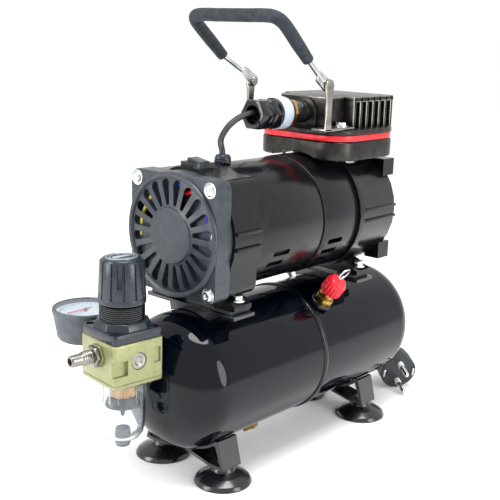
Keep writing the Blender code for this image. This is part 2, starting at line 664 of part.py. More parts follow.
def make_pressure_switch():
    """Pressure switch on the head's outlet, its cable and the gland on the motor."""
    axis = (0.0, 0.0, PORT_HEIGHT)
    profile = [(0.0038, 0.0200), (0.0038, 0.0155), (0.0085, 0.0155), (0.0085, 0.0080),
               (0.0112, 0.0075), (0.0112, -0.0020), (0.0128, -0.0030), (0.0128, -0.0150),
               (0.0118, -0.0160), (0.0118, -0.0370), (0.0106, -0.0390), (0.0070, -0.0390),
               (0.0070, -0.0240), (0.0, -0.0240)]
    turned("pressure_switch", BLACK_PLASTIC, [(0.0, 0.0200)] + profile, axis, X_AXIS, 18)
    route = [(-0.0245, 0.0, 0.2680), (-0.036, 0.0005, 0.2695), (-0.045, 0.002, 0.2680),
             (-0.055, 0.004, 0.2635), (-0.063, 0.005, 0.2570), (-0.068, 0.0045, 0.2500),
             (-0.0704, 0.0006, 0.2430), (-0.0702, 0.0, 0.2366)]
    tube("switch_cable", BLACK_CORD, smooth_route(route, 0.007), SWITCH_CABLE_RADIUS)
    top = MOTOR_HEIGHT + MOTOR_RADIUS
    gland = [(0.0052, top + 0.0068), (0.0066, top + 0.0050), (0.0066, top + GAP),
             (0.0, top + GAP), (0.0, top + 0.0022), (0.0030, top + 0.0022),
             (0.0030, top + 0.0068)]
    gland = gland[4:] + gland[:4]
    turned("cable_gland", BLACK_PLASTIC, gland, (-0.0702, 0.0, 0.0), (0, 0, 0), 16)


def make_rocker():
    """Mains rocker in its bezel, on top of the front bell."""
    middle = Vector((-0.0960, 0.0, 0.0))
    floor = MOTOR_HEIGHT + 0.0395
    top = MOTOR_HEIGHT + 0.0505
    opening = rounded_rectangle(0.0053, 0.0080, 0.0005, 1)
    outline = rounded_rectangle(0.0075, 0.0105, 0.001, 2)
    plate("rocker_bezel", BLACK_PLASTIC, [outline, opening], top - floor,
          (middle.x, 0.0, (top + floor) / 2))
    rocker = box("power_rocker", BLACK_PLASTIC, (middle.x - 0.0049, -0.0068, floor + 0.0025),
                 (middle.x + 0.0049, 0.0068, top + 0.0018))
    rocker.rotation_euler = (math.radians(9.0), 0.0, 0.0)


# ---- Carrying handle ----------------------------------------------------------------------
def handle_route(start_share=0.0):
    """Half of the bail from one pivot lug to the middle of the grip, on the far side."""
    leg = PIVOT.lerp(GRIP_END, 0.30)
    corner_in = GRIP_CORNER.lerp(GRIP_END, 0.26)
    corner_out = GRIP_CORNER + Vector((0.0, -0.011, 0.0))
    bend = []
    for i in range(1, 5):
        t = i / 5
        bend.append(corner_in.lerp(GRIP_CORNER, t).lerp(GRIP_CORNER.lerp(corner_out, t), t))
    return [leg, GRIP_END, corner_in] + bend + [corner_out, Vector((GRIP_CORNER.x, 0.0,
                                                                    GRIP_CORNER.z))]


def both_halves(half):
    return half + [Vector((p.x, -p.y, p.z)) for p in reversed(half[:-1])]


def make_handle():
    """Folding bail: a bent wire with pivot lugs, a foam grip and two riveted brackets."""
    route = handle_route()
    wire = as_mesh(tube("handle_wire", STEEL, both_halves(route), WIRE_RADIUS))
    lean = GRIP_END - PIVOT
    lean.y = 0.0
    lean.normalize()
    for side, sign in SIDES.items():
        reach = PIVOT.lerp(GRIP_END, 0.42)
        end = (reach.x - PIVOT.x, reach.z - PIVOT.z)
        across = (-lean.z * 0.0042, lean.x * 0.0042)
        angle = math.degrees(math.atan2(lean.z, lean.x))
        outline = arc(0.0052, angle + 80, angle + 280, 8)
        outline += [(end[0] - across[0], end[1] - across[1]), (end[0] + across[0],
                                                               end[1] + across[1])]
        hole = circle(0.0024, 12)
        lug = plate(f"lug_{side}", None, [outline, hole], 0.0022,
                    (PIVOT.x, sign * (PIVOT.y + 0.0010), PIVOT.z), ALONG_Y, CUTTERS)
        join(wire, as_mesh(lug))

    grip = as_mesh(tube("handle_grip", RUBBER, both_halves(route[1:]), GRIP_RADIUS, 2))
    bore = as_mesh(tube("grip_bore", None, both_halves(route), WIRE_RADIUS + GAP, 2, CUTTERS))
    cut(grip, bore)

    for side, sign in SIDES.items():
        thickness = 0.0020
        upright = arc(0.0055, 0, 180, 6) + [(-0.0055, HEAD_LEDGE + GAP - PIVOT.z),
                                           (0.0055, HEAD_LEDGE + GAP - PIVOT.z)]
        y_plate = sign * (PIVOT.y + 0.0034)
        bracket = as_mesh(plate(f"handle_bracket_{side}", STEEL, [upright], thickness,
                                (PIVOT.x, y_plate, PIVOT.z), ALONG_Y))
        edge = sorted((sign * (PIVOT.y + 0.0044), sign * 0.0270))
        foot = box(f"bracket_foot_{side}", None, (PIVOT.x - 0.004, edge[0], HEAD_LEDGE + GAP),
                   (0.0370, edge[1], HEAD_LEDGE + GAP + thickness), CUTTERS)
        join(bracket, foot)
        pin = rod(f"handle_pin_{side}", None, 0.0020, -0.0042, 0.0004,
                  (PIVOT.x, y_plate, PIVOT.z), (-sign * math.pi / 2, 0.0, 0.0), 12, CUTTERS)
        join(bracket, pin)


# ---- Filter regulator ---------------------------------------------------------------------
def at_regulator(x, y, z):
    """A place given from the regulator's own axis, turned with the regulator."""
    return REGULATOR + Matrix.Rotation(REGULATOR_TURN, 3, "Z") @ Vector((x, y, z))


def turned_with_regulator(rotation=(0.0, 0.0, 0.0)):
    return (rotation[0], rotation[1], rotation[2] + REGULATOR_TURN)


def make_regulator_body():
    height = BODY_TOP - BODY_BOTTOM
    body = as_mesh(plate("regulator_body", OLIVE_METAL,
                         [rounded_rectangle(BODY_HALF, BODY_HALF, 0.0012, 1)], height,
                         at_regulator(0, 0, BODY_BOTTOM + height / 2), turned_with_regulator()))
    socket = rod("bowl_socket", None, 0.0144, BODY_BOTTOM - 0.005, BODY_BOTTOM + 0.016,
                 REGULATOR, (0, 0, 0), 24, CUTTERS)
    cut(body, socket)
    tank_port = rod("regulator_tank_port", None, 0.0066, -0.152, -0.120,
                    (0, 0, TANK_PORT_HEIGHT), X_AXIS, 16, CUTTERS)
    cut(body, tank_port)
    outlet = rod("regulator_outlet_port", None, 0.0050, -0.026, -0.012, at_regulator(0, 0, 0.113),
                 turned_with_regulator(X_AXIS), 16, CUTTERS)
    cut(body, outlet)
    gauge_port = rod("regulator_gauge_port", None, 0.0050, 0.012, 0.026,
                     at_regulator(0, 0, 0.1145), turned_with_regulator(Y_AXIS), 16, CUTTERS)
    cut(body, gauge_port)
    spring_seat = rod("spring_seat", None, 0.0090, BODY_TOP - 0.003, BODY_TOP + 0.002, REGULATOR,
                      (0, 0, 0), 20, CUTTERS)
    cut(body, spring_seat)


def make_bonnet_and_knob():
    """Bonnet with its threaded neck, the adjusting screw, spring and push-lock knob."""
    low = BODY_TOP + GAP
    flat = 0.1310
    neck = 0.1360
    height = flat - low
    bonnet = as_mesh(plate("regulator_bonnet", BLACK_PLASTIC,
                           [rounded_rectangle(0.0202, 0.0202, 0.0035, 2), circle(0.0100, 24)],
                           height, at_regulator(0, 0, low + height / 2),
                           turned_with_regulator()))
    collar = turned("bonnet_collar", None,
                    [(0.0192, neck - 0.0020), (0.0200, flat - 0.0004), (0.0100, flat - 0.0004),
                     (0.0100, neck), (0.0170, neck)],
                    REGULATOR, (0, 0, math.radians(17)), 8, True, CUTTERS)
    profile = [(0.0158, BONNET_TOP), (0.0158, flat - 0.0010), (0.0102, flat - 0.0010),
               (0.0102, BONNET_TOP)]
    thread = turned("bonnet_thread", None, profile, REGULATOR, (0, 0, 0), 18, True, CUTTERS)
    join(bonnet, thread)
    join(bonnet, collar)

    spindle = [(0.0, 0.1720), (0.0042, 0.1720), (0.0042, 0.1426), (0.0086, 0.1422),
               (0.0086, 0.1404), (0.0035, 0.1404), (0.0035, 0.1270), (0.0, 0.1270)]
    turned("adjusting_spindle", STEEL, spindle, REGULATOR, (0, 0, 0), 16)
    turns = 3
    coil = []
    for i in range(8 * turns + 1):
        angle = 2 * math.pi * i / 8
        coil.append(REGULATOR + Vector((0.0066 * math.cos(angle), 0.0066 * math.sin(angle),
                                        0.1228 + 0.0160 * i / (8 * turns))))
    tube("regulator_spring", STEEL, coil, 0.0007)

    knob = [(0.0, 0.1796), (0.0140, 0.1796), (0.0152, 0.1785), (0.0163, 0.1520),
            (0.0166, 0.1500), (0.0166, 0.1475), (0.0140, 0.1475), (0.0138, 0.1740),
            (0.0, 0.1740)]
    turned("regulator_knob", BLACK_PLASTIC, knob, REGULATOR, (0, 0, 0), 20)


def make_filter_bowl():
    """Clear bowl, sintered filter, baffle and the drain knob under the bowl."""
    wall = 0.0018
    outside = [(0.0141, BODY_BOTTOM + 0.0075), (0.0141, BODY_BOTTOM - GAP),
               (0.0160, BODY_BOTTOM - GAP), (0.0160, 0.0620), (0.0152, 0.0545),
               (0.0120, 0.0487), (0.0070, 0.0466), (0.0028, 0.0466)]
    inside = [(0.0028, 0.0466 + wall), (0.0064, 0.0466 + wall), (0.0108, 0.0500),
              (0.0134, 0.0550), (0.0142, 0.0620), (0.0142, BODY_BOTTOM - 0.0030),
              (0.0123, BODY_BOTTOM - 0.0010), (0.0123, BODY_BOTTOM + 0.0075)]
    turned("filter_bowl", CLEAR_PLASTIC, outside + inside, REGULATOR, (0, 0, 0), 16, True)
    pipe("filter_element", PEACH_PLASTIC, 0.0092, 0.0050, 0.0798, 0.0990, REGULATOR, (0, 0, 0), 20)
    baffle = [(0.0, 0.0795), (0.0098, 0.0795), (0.0124, 0.0745), (0.0124, 0.0725),
              (0.0030, 0.0735), (0.0012, 0.0640), (0.0, 0.0640)]
    turned("filter_baffle", BAFFLE_PLASTIC, baffle, REGULATOR, (0, 0, 0), 20)
    knob = [(0.0, 0.0550), (0.0050, 0.0550), (0.0060, 0.0490), (0.0024, 0.0488),
            (0.0024, 0.0463), (0.0058, 0.0460), (0.0058, 0.0415), (0.0, 0.0415)]
    turned("bowl_drain_knob", BLACK_PLASTIC, knob, REGULATOR, (0, 0, 0), 16)


def make_regulator_fittings():
    """Outlet nipple for the air hose, and the pressure gauge with its needle and lens."""
    profile = [(0.0047, -0.0170), (0.0047, -0.0203), (0.0080, -0.0203), (0.0080, -0.0250),
               (0.0047, -0.0252), (0.0047, -0.0330), (0.0042, -0.0335), (0.0042, -0.0420),
               (0.0026, -0.0420), (0.0026, -0.0170)]
    turned("outlet_nipple", STEEL, profile, at_regulator(0, 0, 0.113),
           turned_with_regulator(X_AXIS), 16, True)

    centre = at_regulator(0, GAUGE_OFFSET, 0)
    dial = GAUGE_TOP - 0.0040
    case = [(GAUGE_RADIUS - 0.0006, GAUGE_TOP), (GAUGE_RADIUS, GAUGE_TOP - 0.0010),
            (GAUGE_RADIUS - 0.0006, GAUGE_TOP - 0.0055), (0.0205, GAUGE_TOP - 0.0215),
            (0.0190, GAUGE_TOP - 0.0235), (0.0, GAUGE_TOP - 0.0235)]
    recess = [(0.0, dial - 0.0010), (0.0016, dial - 0.0010), (0.0016, dial),
              (GAUGE_RADIUS - 0.0020, dial), (GAUGE_RADIUS - 0.0020, GAUGE_TOP)]
    gauge = turned("gauge_case", BLACK_PLASTIC, recess + case, centre, (0, 0, 0), 24)
    stem = rod("gauge_stem", None, 0.0046, 0.0150, GAUGE_OFFSET - 0.010,
               at_regulator(0, 0, 0.1145), turned_with_regulator(Y_AXIS), 14, CUTTERS)
    join(gauge, stem)

    needle = box("gauge_needle", RED_PLASTIC, centre + Vector((-0.0160, -0.0006, dial + 0.0010)),
                 centre + Vector((0.0050, 0.0006, dial + 0.0016)))
    hub = rod("needle_hub", None, 0.0013, dial - 0.0007, dial + 0.0020, centre, (0, 0, 0), 10,
              CUTTERS)
    join(needle, hub)
    rod("gauge_lens", CLEAR_PLASTIC, GAUGE_RADIUS - 0.0023, GAUGE_TOP - 0.0016,
        GAUGE_TOP - 0.0004, centre, (0, 0, 0), 24)


# ---- Pipes and cords ----------------------------------------------------------------------
def make_delivery_tube():
    """Air pipe on the far side, from the head's port down to the tank."""
    route = [(0.0710, 0.0463, 0.2400), (0.0710, 0.0530, 0.2397), (0.0715, 0.0595, 0.2310),
             (0.0720, 0.0600, 0.2000), (0.0725, 0.0600, 0.1600), (0.0730, 0.0560, 0.1300),
             (0.0730, 0.0490, 0.1130), (0.0730, 0.0435, 0.1046)]
    as_mesh(tube("delivery_tube", STEEL, smooth_route(route, 0.009), 0.0030))


def make_power_cord():
    """Mains lead: gland on the motor's far side, a drop to the floor, a coil and a plug."""
    gland = [(0.0052, 0.0580), (0.0070, 0.0545), (0.0070, MOTOR_RADIUS + GAP),
             (0.0, MOTOR_RADIUS + GAP)]
    bore = [(0.0, 0.0505), (CORD_RADIUS + GAP, 0.0505), (CORD_RADIUS + GAP, 0.0580)]
    turned("power_gland", BLACK_PLASTIC, bore + gland, (-0.025, 0.0, MOTOR_HEIGHT), Y_AXIS, 16)

    side = COIL_OUTER + CORD_RADIUS + 2 * GAP
    upper_end = COIL_CENTRE + Vector((-side, 0.0, COIL_HEIGHT - CORD_RADIUS))
    upper = [(-0.025, 0.0510, MOTOR_HEIGHT), (-0.025, 0.0560, MOTOR_HEIGHT),
             (-0.025, 0.0640, MOTOR_HEIGHT - 0.0004), (-0.0255, 0.0760, 0.1810),
             (-0.0262, 0.0850, 0.1640), (-0.0270, 0.0870, 0.1400), (-0.0280, 0.0850, 0.0950),
             (-0.0290, 0.0810, 0.0550), (-0.0296, 0.0810, 0.0300), upper_end]
    tube("power_cord_upper", BLACK_CORD, smooth_route(upper, 0.014), CORD_RADIUS)

    profile = [(COIL_OUTER, COIL_HEIGHT - 0.002), (COIL_OUTER, 0.002), (COIL_OUTER - 0.002, 0.0),
               (COIL_INNER + 0.002, 0.0), (COIL_INNER, 0.002), (COIL_INNER, COIL_HEIGHT - 0.002),
               (COIL_INNER + 0.002, COIL_HEIGHT), (COIL_OUTER - 0.002, COIL_HEIGHT)]
    turned("cord_coil", BLACK_CORD, profile, COIL_CENTRE, (0, 0, 0), 24, True)

    back = Vector((math.cos(PLUG_TURN) * math.cos(PLUG_TILT),
                   math.sin(PLUG_TURN) * math.cos(PLUG_TILT), math.sin(PLUG_TILT)))
    resting = CORD_RADIUS + 0.0007
    lower_start = COIL_CENTRE + Vector((0.0, side, resting))
    plug_end = PLUG_FACE + back * 0.0415
    lower = [lower_start, lower_start + Vector((0.025, 0.0, 0.0)), (0.085, 0.1400, resting),
             (0.130, 0.1260, resting), (0.165, 0.1010, resting), (0.185, 0.0740, 0.0078),
             (0.1900, 0.0460, 0.0215), plug_end + back * 0.0160, plug_end]
    tube("power_cord_lower", BLACK_CORD, smooth_route(lower, 0.014), CORD_RADIUS)
    make_plug()


def make_plug():
    """Two-pin earthed plug lying on the floor, its pins one above the other."""
    profile = [(0.0, 0.0400), (CORD_RADIUS + GAP, 0.0400), (CORD_RADIUS + GAP, 0.0460),
               (0.0050, 0.0460), (0.0062, 0.0360), (0.0130, 0.0300), (PLUG_RADIUS, 0.0140),
               (PLUG_RADIUS, 0.0), (0.0, 0.0)]
    rotation = (0.0, math.pi / 2 - PLUG_TILT, PLUG_TURN)
    across = Vector((-math.cos(PLUG_TURN) * math.sin(PLUG_TILT),
                     -math.sin(PLUG_TURN) * math.sin(PLUG_TILT), math.cos(PLUG_TILT)))
    plug = turned("power_plug", BLACK_PLASTIC, profile, PLUG_FACE, rotation, 20)
    for level, sign in (("lower", -1), ("upper", 1)):
        pin = rod(f"plug_pin_{level}", None, 0.0024, -0.0190, 0.0010,
                  PLUG_FACE + across * sign * 0.0095, rotation, 12, CUTTERS)
        join(plug, pin)


# ---- Assembly -----------------------------------------------------------------------------
def main():
    left_half, right_half = make_tank()
    make_safety_valve(right_half)
    make_drain_cock(left_half)
    make_feet()
    make_saddles()
    make_fan_cover()
    make_front_bell()
    make_motor_shells()
    make_motor_inside()
    make_pump()
    make_pressure_switch()
    make_rocker()
    make_handle()
    make_regulator_body()
    make_bonnet_and_knob()
    make_filter_bowl()
    make_regulator_fittings()
    make_delivery_tube()
    make_power_cord()
    for obj in list(PARTS.objects) + list(CUTTERS.objects):
        obj.location -= FOOTPRINT_MIDDLE


main()
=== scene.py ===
# %% [markdown]
# # An airbrush compressor, finished for rendering
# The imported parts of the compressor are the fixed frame. This lesson dresses them: most of
# the parts that show are modelled again with finer curves, in the same places, and each gets a
# material with its own grain, gloss and wear. Lengths are in millimetres from the middle of the
# air tank, at floor level, because that is how a maker would measure this machine.

# %% Load the frame
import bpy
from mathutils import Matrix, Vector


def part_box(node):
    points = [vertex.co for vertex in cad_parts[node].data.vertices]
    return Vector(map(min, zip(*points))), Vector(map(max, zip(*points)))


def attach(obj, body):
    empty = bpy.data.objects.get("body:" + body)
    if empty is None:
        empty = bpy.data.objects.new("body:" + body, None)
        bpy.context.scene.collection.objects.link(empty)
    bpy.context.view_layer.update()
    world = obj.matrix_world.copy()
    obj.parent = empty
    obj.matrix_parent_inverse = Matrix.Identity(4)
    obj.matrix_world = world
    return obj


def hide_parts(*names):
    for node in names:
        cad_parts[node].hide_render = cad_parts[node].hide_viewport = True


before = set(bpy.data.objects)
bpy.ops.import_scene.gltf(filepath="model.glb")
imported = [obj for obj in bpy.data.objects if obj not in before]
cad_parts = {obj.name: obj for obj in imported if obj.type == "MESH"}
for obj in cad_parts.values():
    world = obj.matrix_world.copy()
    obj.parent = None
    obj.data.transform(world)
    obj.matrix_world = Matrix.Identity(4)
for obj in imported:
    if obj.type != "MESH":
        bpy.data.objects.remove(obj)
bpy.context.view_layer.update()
print(len(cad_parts), "packed parts")

# %% [markdown]
# ## Where things are
# The two halves of the tank meet at its weld, so their packed boxes show where the middle of
# the machine is. One matrix then carries a place in millimetres from that middle into the
# frame's metres. Every piece is drawn in millimetres and moved over once, at the end.

# %% Tools used all the way through
import math

import bmesh
import bpy
from mathutils import Matrix, Vector

seam_low, seam_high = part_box("tank_right_half")
HALF_GAP = 0.00015                       # the two tank halves stop short of the seam
HOME = Vector((seam_low.x - HALF_GAP, (seam_low.y + seam_high.y) / 2, 0.0))
MM = 0.001
TO_FRAME = Matrix.Translation(HOME) @ Matrix.Scale(MM, 4)
print("the tank's middle is at", [round(v, 4) for v in HOME], "in the frame")


def at(x, y, z):
    """A place given in millimetres from the tank's middle, in the frame's metres."""
    return TO_FRAME @ Vector((x, y, z))


# %% [markdown]
# ## Camera
# The machine is seen from its fan end and a little from above. A lens of 65 mm keeps the near
# regulator from looking swollen. The camera is built from the direction it looks in, then rolled
# by under two degrees, because this view is not quite level.

# %% Camera
CAMERA_PLACE = (-548.4, -457.3, 328.9)
CAMERA_YAW = math.radians(41.761)        # from +X towards +Y
CAMERA_PITCH = math.radians(13.758)      # downwards
CAMERA_ROLL = math.radians(1.714)
LENS = 64.9

camera = bpy.data.objects.new("camera", bpy.data.cameras.new("camera"))
bpy.context.scene.collection.objects.link(camera)
level = Matrix.Rotation(CAMERA_YAW - math.pi / 2, 4, "Z")
tipped = Matrix.Rotation(math.pi / 2 - CAMERA_PITCH, 4, "X")
rolled = Matrix.Rotation(CAMERA_ROLL, 4, "Z")
camera.matrix_world = Matrix.Translation(at(*CAMERA_PLACE)) @ level @ tipped @ rolled
camera.data.lens = LENS
camera.data.sensor_width = 36.0
camera.data.shift_x = -0.0013
camera.data.shift_y = 0.0046
camera.data.clip_end = 50.0
bpy.context.scene.camera = camera
print("the camera is", round((camera.matrix_world.translation - HOME).length, 2), "m away")

# %% [markdown]
# ## Materials
# Every finish starts from what the real surface is and how it was made. One function turns a
# colour as seen on screen into the light that the renderer adds up, one adds a node with its
# settings, and one makes the base that most finishes share: a colour that drifts between two
# tones, a roughness that drifts with handling, and a fine relief of the right size in
# millimetres.


# %% Colour, node and finish helpers
def linear(colour):
    """An sRGB hex colour as the linear values that shaders want."""
    channels = [int(colour[i:i + 2], 16) / 255 for i in (1, 3, 5)]
    values = [c / 12.92 if c <= 0.04045 else ((c + 0.055) / 1.055) ** 2.4 for c in channels]
    return (*values, 1.0)


def add_node(tree, kind, inputs=None, **settings):
    """Add a node, set its options, and fill each input with a value or a link."""
    node = tree.nodes.new(kind)
    for name, value in settings.items():
        setattr(node, name, value)
    for name, value in (inputs or {}).items():
        if isinstance(value, bpy.types.NodeSocket):
            tree.links.new(value, node.inputs[name])
        else:
            node.inputs[name].default_value = value
    return node


def finish(name, tones, rough, grain_mm, depth_mm, metallic=0.0, ior=1.5, cells=False,
           stretch=(1.0, 1.0, 1.0), **shader_values):
    """Colour that drifts between two tones, gloss that drifts, and a fine relief."""
    material = bpy.data.materials.new(name)
    material.use_nodes = True
    tree = material.node_tree
    shader = tree.nodes["Principled BSDF"]
    shader.inputs["Metallic"].default_value = metallic
    if metallic < 0.5:
        shader.inputs["IOR"].default_value = ior
    for key, value in shader_values.items():
        shader.inputs[key.replace("_", " ")].default_value = value
    place = add_node(tree, "ShaderNodeTexCoord").outputs["Object"]
    turned = add_node(tree, "ShaderNodeMapping", {"Vector": place, "Scale": stretch})
    place = turned.outputs["Vector"]

    size = 1000.0 / (grain_mm * 9)
    blotches = add_node(tree, "ShaderNodeTexNoise", {"Vector": place, "Scale": size})
    ramp = add_node(tree, "ShaderNodeValToRGB", {"Fac": blotches.outputs[0]})
    for stop, position, tone in zip(ramp.color_ramp.elements, (0.35, 0.65), tones):
        stop.position = position
        stop.color = linear(tone)
    tree.links.new(ramp.outputs["Color"], shader.inputs["Base Color"])

    size = 1000.0 / (grain_mm * 5)
    smears = add_node(tree, "ShaderNodeTexNoise", {"Vector": place, "Scale": size})
    gloss = add_node(tree, "ShaderNodeMapRange", {"Value": smears.outputs[0], "From Min": 0.3,
                                                  "From Max": 0.7, "To Min": rough[0],
                                                  "To Max": rough[1]})
    tree.links.new(gloss.outputs["Result"], shader.inputs["Roughness"])

    pattern = "ShaderNodeTexVoronoi" if cells else "ShaderNodeTexNoise"
    grain = add_node(tree, pattern, {"Vector": place, "Scale": 1000.0 / grain_mm})
    bump = add_node(tree, "ShaderNodeBump", {"Height": grain.outputs[0],
                                             "Distance": depth_mm * MM})
    tree.links.new(bump.outputs["Normal"], shader.inputs["Normal"])
    return material


print("a mid grey gives", round(linear("#808080")[0], 3), "of white light")


# %% [markdown]
# ### Paint and cast metal
# The tank is sprayed with black stove enamel: deep, wet-looking, and very slightly rippled like
# orange peel, a ripple about 4 mm long. The motor castings wear a thinner semi-gloss powder coat
# over sand-cast aluminium, so their relief is finer and rougher, and their bevelled edges are
# lighter: rubbed paint and a painted highlight. The head is a pressure casting under thin metallic
# grey paint, which gives a soft sparkle, a skin, and brighter edges, where the paint has rubbed and
# where a painted highlight runs along them.

# %% Paint and cast metal
TANK_ENAMEL = finish("stove_enamel_black", ("#01030a", "#030813"), (0.03, 0.07), 4.0, 0.006,
                     ior=1.5, Specular_IOR_Level=0.26)
WELD_ENAMEL = finish("enamelled_weld", ("#020306", "#0a0d12"), (0.06, 0.14), 1.2, 0.25,
                     ior=1.5, Specular_IOR_Level=0.4)
MOTOR_PAINT = finish("powder_coat_black", ("#07080a", "#0d0f12"), (0.16, 0.26), 0.9, 0.012,
                     Specular_IOR_Level=0.34)
BRACKET_PAINT = finish("dipped_paint_black", ("#101216", "#1a1d22"), (0.18, 0.3), 1.4, 0.01,
                       Coat_Weight=0.4, Coat_Roughness=0.15)
GUNMETAL = finish("cast_gunmetal", ("#2b2927", "#3b3936"), (0.26, 0.38), 0.8, 0.02,
                  metallic=0.85)
# Lighter rims for the head: rubbed paint and a painted highlight along each edge.
RUBBED_EDGE_AND_HIGHLIGHT = finish("rubbed_edge_painted_highlight", ("#7d7a74", "#9a968f"), (0.22, 0.32), 0.8, 0.01,
                     metallic=1.0)
# Lighter edges for the black powder coat: rubbed paint and a painted highlight.
WORN_EDGE_AND_HIGHLIGHT = finish("worn_paint_edge_painted_highlight", ("#23262b", "#30343a"), (0.16, 0.24), 0.9, 0.008)
print(len(bpy.data.materials), "materials with the paints")

# %% [markdown]
# ### Bright metal, brass and olive casting
# Screws, the bail and its brackets are plated steel: almost a mirror, broken by faint drawing
# lines. Squeezing the pattern along one axis stretches its blotches into such lines. Brass
# fittings are turned, so their rings run round them. The regulator's body is a zinc casting
# with an olive-gold metallic lacquer, whose sparkle is finer than the eye resolves, so it is
# drawn at 0.5 mm.

# %% Bright metal, brass and olive casting
NICKEL = finish("nickel_plate", ("#b4b7b8", "#dcdedd"), (0.10, 0.2), 1.2, 0.003, metallic=1.0,
                stretch=(1.0, 1.0, 0.25))
SCREW_STEEL = finish("zinc_screw_steel", ("#bfc2c4", "#e6e8e8"), (0.14, 0.26), 1.0, 0.003,
                     metallic=1.0)
STRIP_STEEL = finish("bent_strip_steel", ("#7c7a74", "#a09d95"), (0.2, 0.32), 1.0, 0.004,
                     metallic=1.0, stretch=(0.25, 1.0, 1.0))
BARREL_STEEL = finish("turned_barrel_steel", ("#8f9194", "#b4b6b8"), (0.2, 0.3), 0.9, 0.006,
                      metallic=1.0, stretch=(0.2, 0.2, 1.0))
PIPE_METAL = finish("bare_aluminium_pipe", ("#a7a9a8", "#c9cbc9"), (0.22, 0.36), 1.2, 0.004,
                    metallic=1.0)
BRASS = finish("turned_brass", ("#8d6a2c", "#c9a45a"), (0.18, 0.32), 1.0, 0.004, metallic=1.0,
               stretch=(1.0, 0.3, 0.3))
OLIVE = finish("olive_lacquer", ("#83855a", "#8e9064"), (0.30, 0.42), 0.5, 0.010, metallic=0.5,
               cells=True, Coat_Weight=0.3, Coat_Roughness=0.2)
print(len(bpy.data.materials), "materials with the metals")

# %% [markdown]
# ### Plastics, rubber and foam
# Moulded parts differ by gloss and by the texture cut into their mould: the fan cover is a
# satin slate-grey nylon, the regulator's knob and bonnet are glossier black ABS, and the gauge
# case is matt. Rubber feet and cord sheaths take a soft, low sheen. The grip is closed-cell
# foam, whose cells of about 0.4 mm are drawn at 0.8 mm so that they show. The filter is
# pressed from peach-coloured granules, drawn at 0.6 mm for the same reason.

# %% Plastics, rubber and foam
COVER_NYLON = finish("slate_nylon", ("#22282f", "#2c333b"), (0.3, 0.42), 0.6, 0.01)
FAN_NYLON = finish("fan_nylon", ("#14171b", "#1d2126"), (0.4, 0.55), 0.8, 0.01)
BLACK_ABS = finish("black_abs", ("#131922", "#1c2430"), (0.22, 0.34), 0.8, 0.006)
GLOSS_ABS = finish("gloss_black_abs", ("#0b0d11", "#12151a"), (0.08, 0.16), 1.5, 0.003)
BADGE_ABS = finish("embossed_grey_abs", ("#8a929c", "#a3abb5"), (0.12, 0.2), 1.5, 0.003,
                   metallic=0.3)
GAUGE_ABS = finish("gauge_case_abs", ("#3a4047", "#474e56"), (0.42, 0.55), 0.7, 0.012)
BAND_NYLON = finish("switch_band_nylon", ("#a9b4c1", "#bdc8d4"), (0.35, 0.5), 0.9, 0.01)
SEAL_SILICONE = finish("silicone_red", ("#d3131d", "#ee2733"), (0.28, 0.4), 1.0, 0.01)
CAP_RED = finish("anodised_red_cap", ("#d0141f", "#ee2636"), (0.2, 0.32), 1.0, 0.006)
CUP_RUBBER = finish("cup_rubber", ("#07090b", "#101317"), (0.2, 0.32), 2.2, 0.02,
                    Coat_Weight=0.3)
PAD_RUBBER = finish("pad_rubber", ("#20252b", "#2b3138"), (0.5, 0.7), 0.9, 0.03)
CORD_PVC = finish("cord_pvc", ("#0f1114", "#181b1f"), (0.32, 0.45), 1.1, 0.01)
PLUG_PVC = finish("plug_pvc", ("#1b2025", "#262c32"), (0.38, 0.52), 0.7, 0.02)
COLLAR_NYLON = finish("pin_collar_nylon", ("#d9d9d2", "#eeeeea"), (0.4, 0.5), 0.8, 0.01)
BAFFLE_GREY = finish("baffle_acetal", ("#3a3d46", "#4a4d57"), (0.3, 0.42), 0.9, 0.01)
DIAL_CARD = finish("dial_card", ("#bcc7d1", "#ccd6de"), (0.5, 0.6), 3.0, 0.004)
DIAL_INK = finish("dial_ink", ("#20242a", "#2c3138"), (0.5, 0.6), 1.0, 0.002)
DRAIN_ACETAL = finish("smoky_drain_acetal", ("#7d8489", "#9aa1a6"), (0.15, 0.25), 0.9, 0.004,
                      Transmission_Weight=0.5)
NEEDLE_RED = finish("needle_paint", ("#a8121b", "#c21c26"), (0.3, 0.4), 0.8, 0.002)
WINDING_WIRE = finish("enamelled_copper", ("#8a4422", "#b5653a"), (0.25, 0.4), 0.8, 0.05,
                      metallic=0.9, stretch=(0.3, 1.0, 1.0))
# Near black: varnished iron, darkened further as painted shade for the motor's inside, seen through
# the louvres.
SHADED_CORE_IRON = finish("varnished_laminations_painted_shade", ("#101113", "#1b1d20"), (0.4, 0.55), 0.9, 0.02,
                   metallic=0.3, stretch=(4.0, 0.3, 0.3))
WIRE_TONES = {"red": ("#a0101a", "#c01822"), "white": ("#d0d2d4", "#e4e6e8"),
              "blue": ("#10209a", "#1a30c0"), "yellow": ("#a99a30", "#c0b040")}
WIRE_PVC = {name: finish("wire_pvc_" + name, tones, (0.3, 0.4), 0.8, 0.005)
            for name, tones in WIRE_TONES.items()}
FOAM = finish("grip_foam", ("#10161d", "#1c252f"), (0.6, 0.85), 0.8, 0.10, cells=True)
SINTERED = finish("sintered_filter", ("#d59a60", "#f0c493"), (0.6, 0.8), 0.6, 0.08, cells=True,
                  Subsurface_Weight=0.1)
print(len(bpy.data.materials), "materials with the plastics")

# %% [markdown]
# ### Clear parts
# The bowl is clear polycarbonate about 2 mm thick and the gauge's window is thin acrylic. Real
# refraction through a thick, nearly colourless wall gives the dark outlines that make a clear
# bowl readable on a white ground; a trace of wavy relief keeps it from looking like cut glass.

# %% Clear parts
BOWL_CLEAR = finish("clear_polycarbonate", ("#eef3f6", "#f6fafc"), (0.01, 0.04), 8.0, 0.01,
                    ior=1.45, Transmission_Weight=1.0)
LENS_CLEAR = finish("gauge_acrylic", ("#f2f6f9", "#f8fbfd"), (0.01, 0.03), 8.0, 0.002,
                    ior=1.2, Transmission_Weight=1.0)
print(len(bpy.data.materials), "materials")

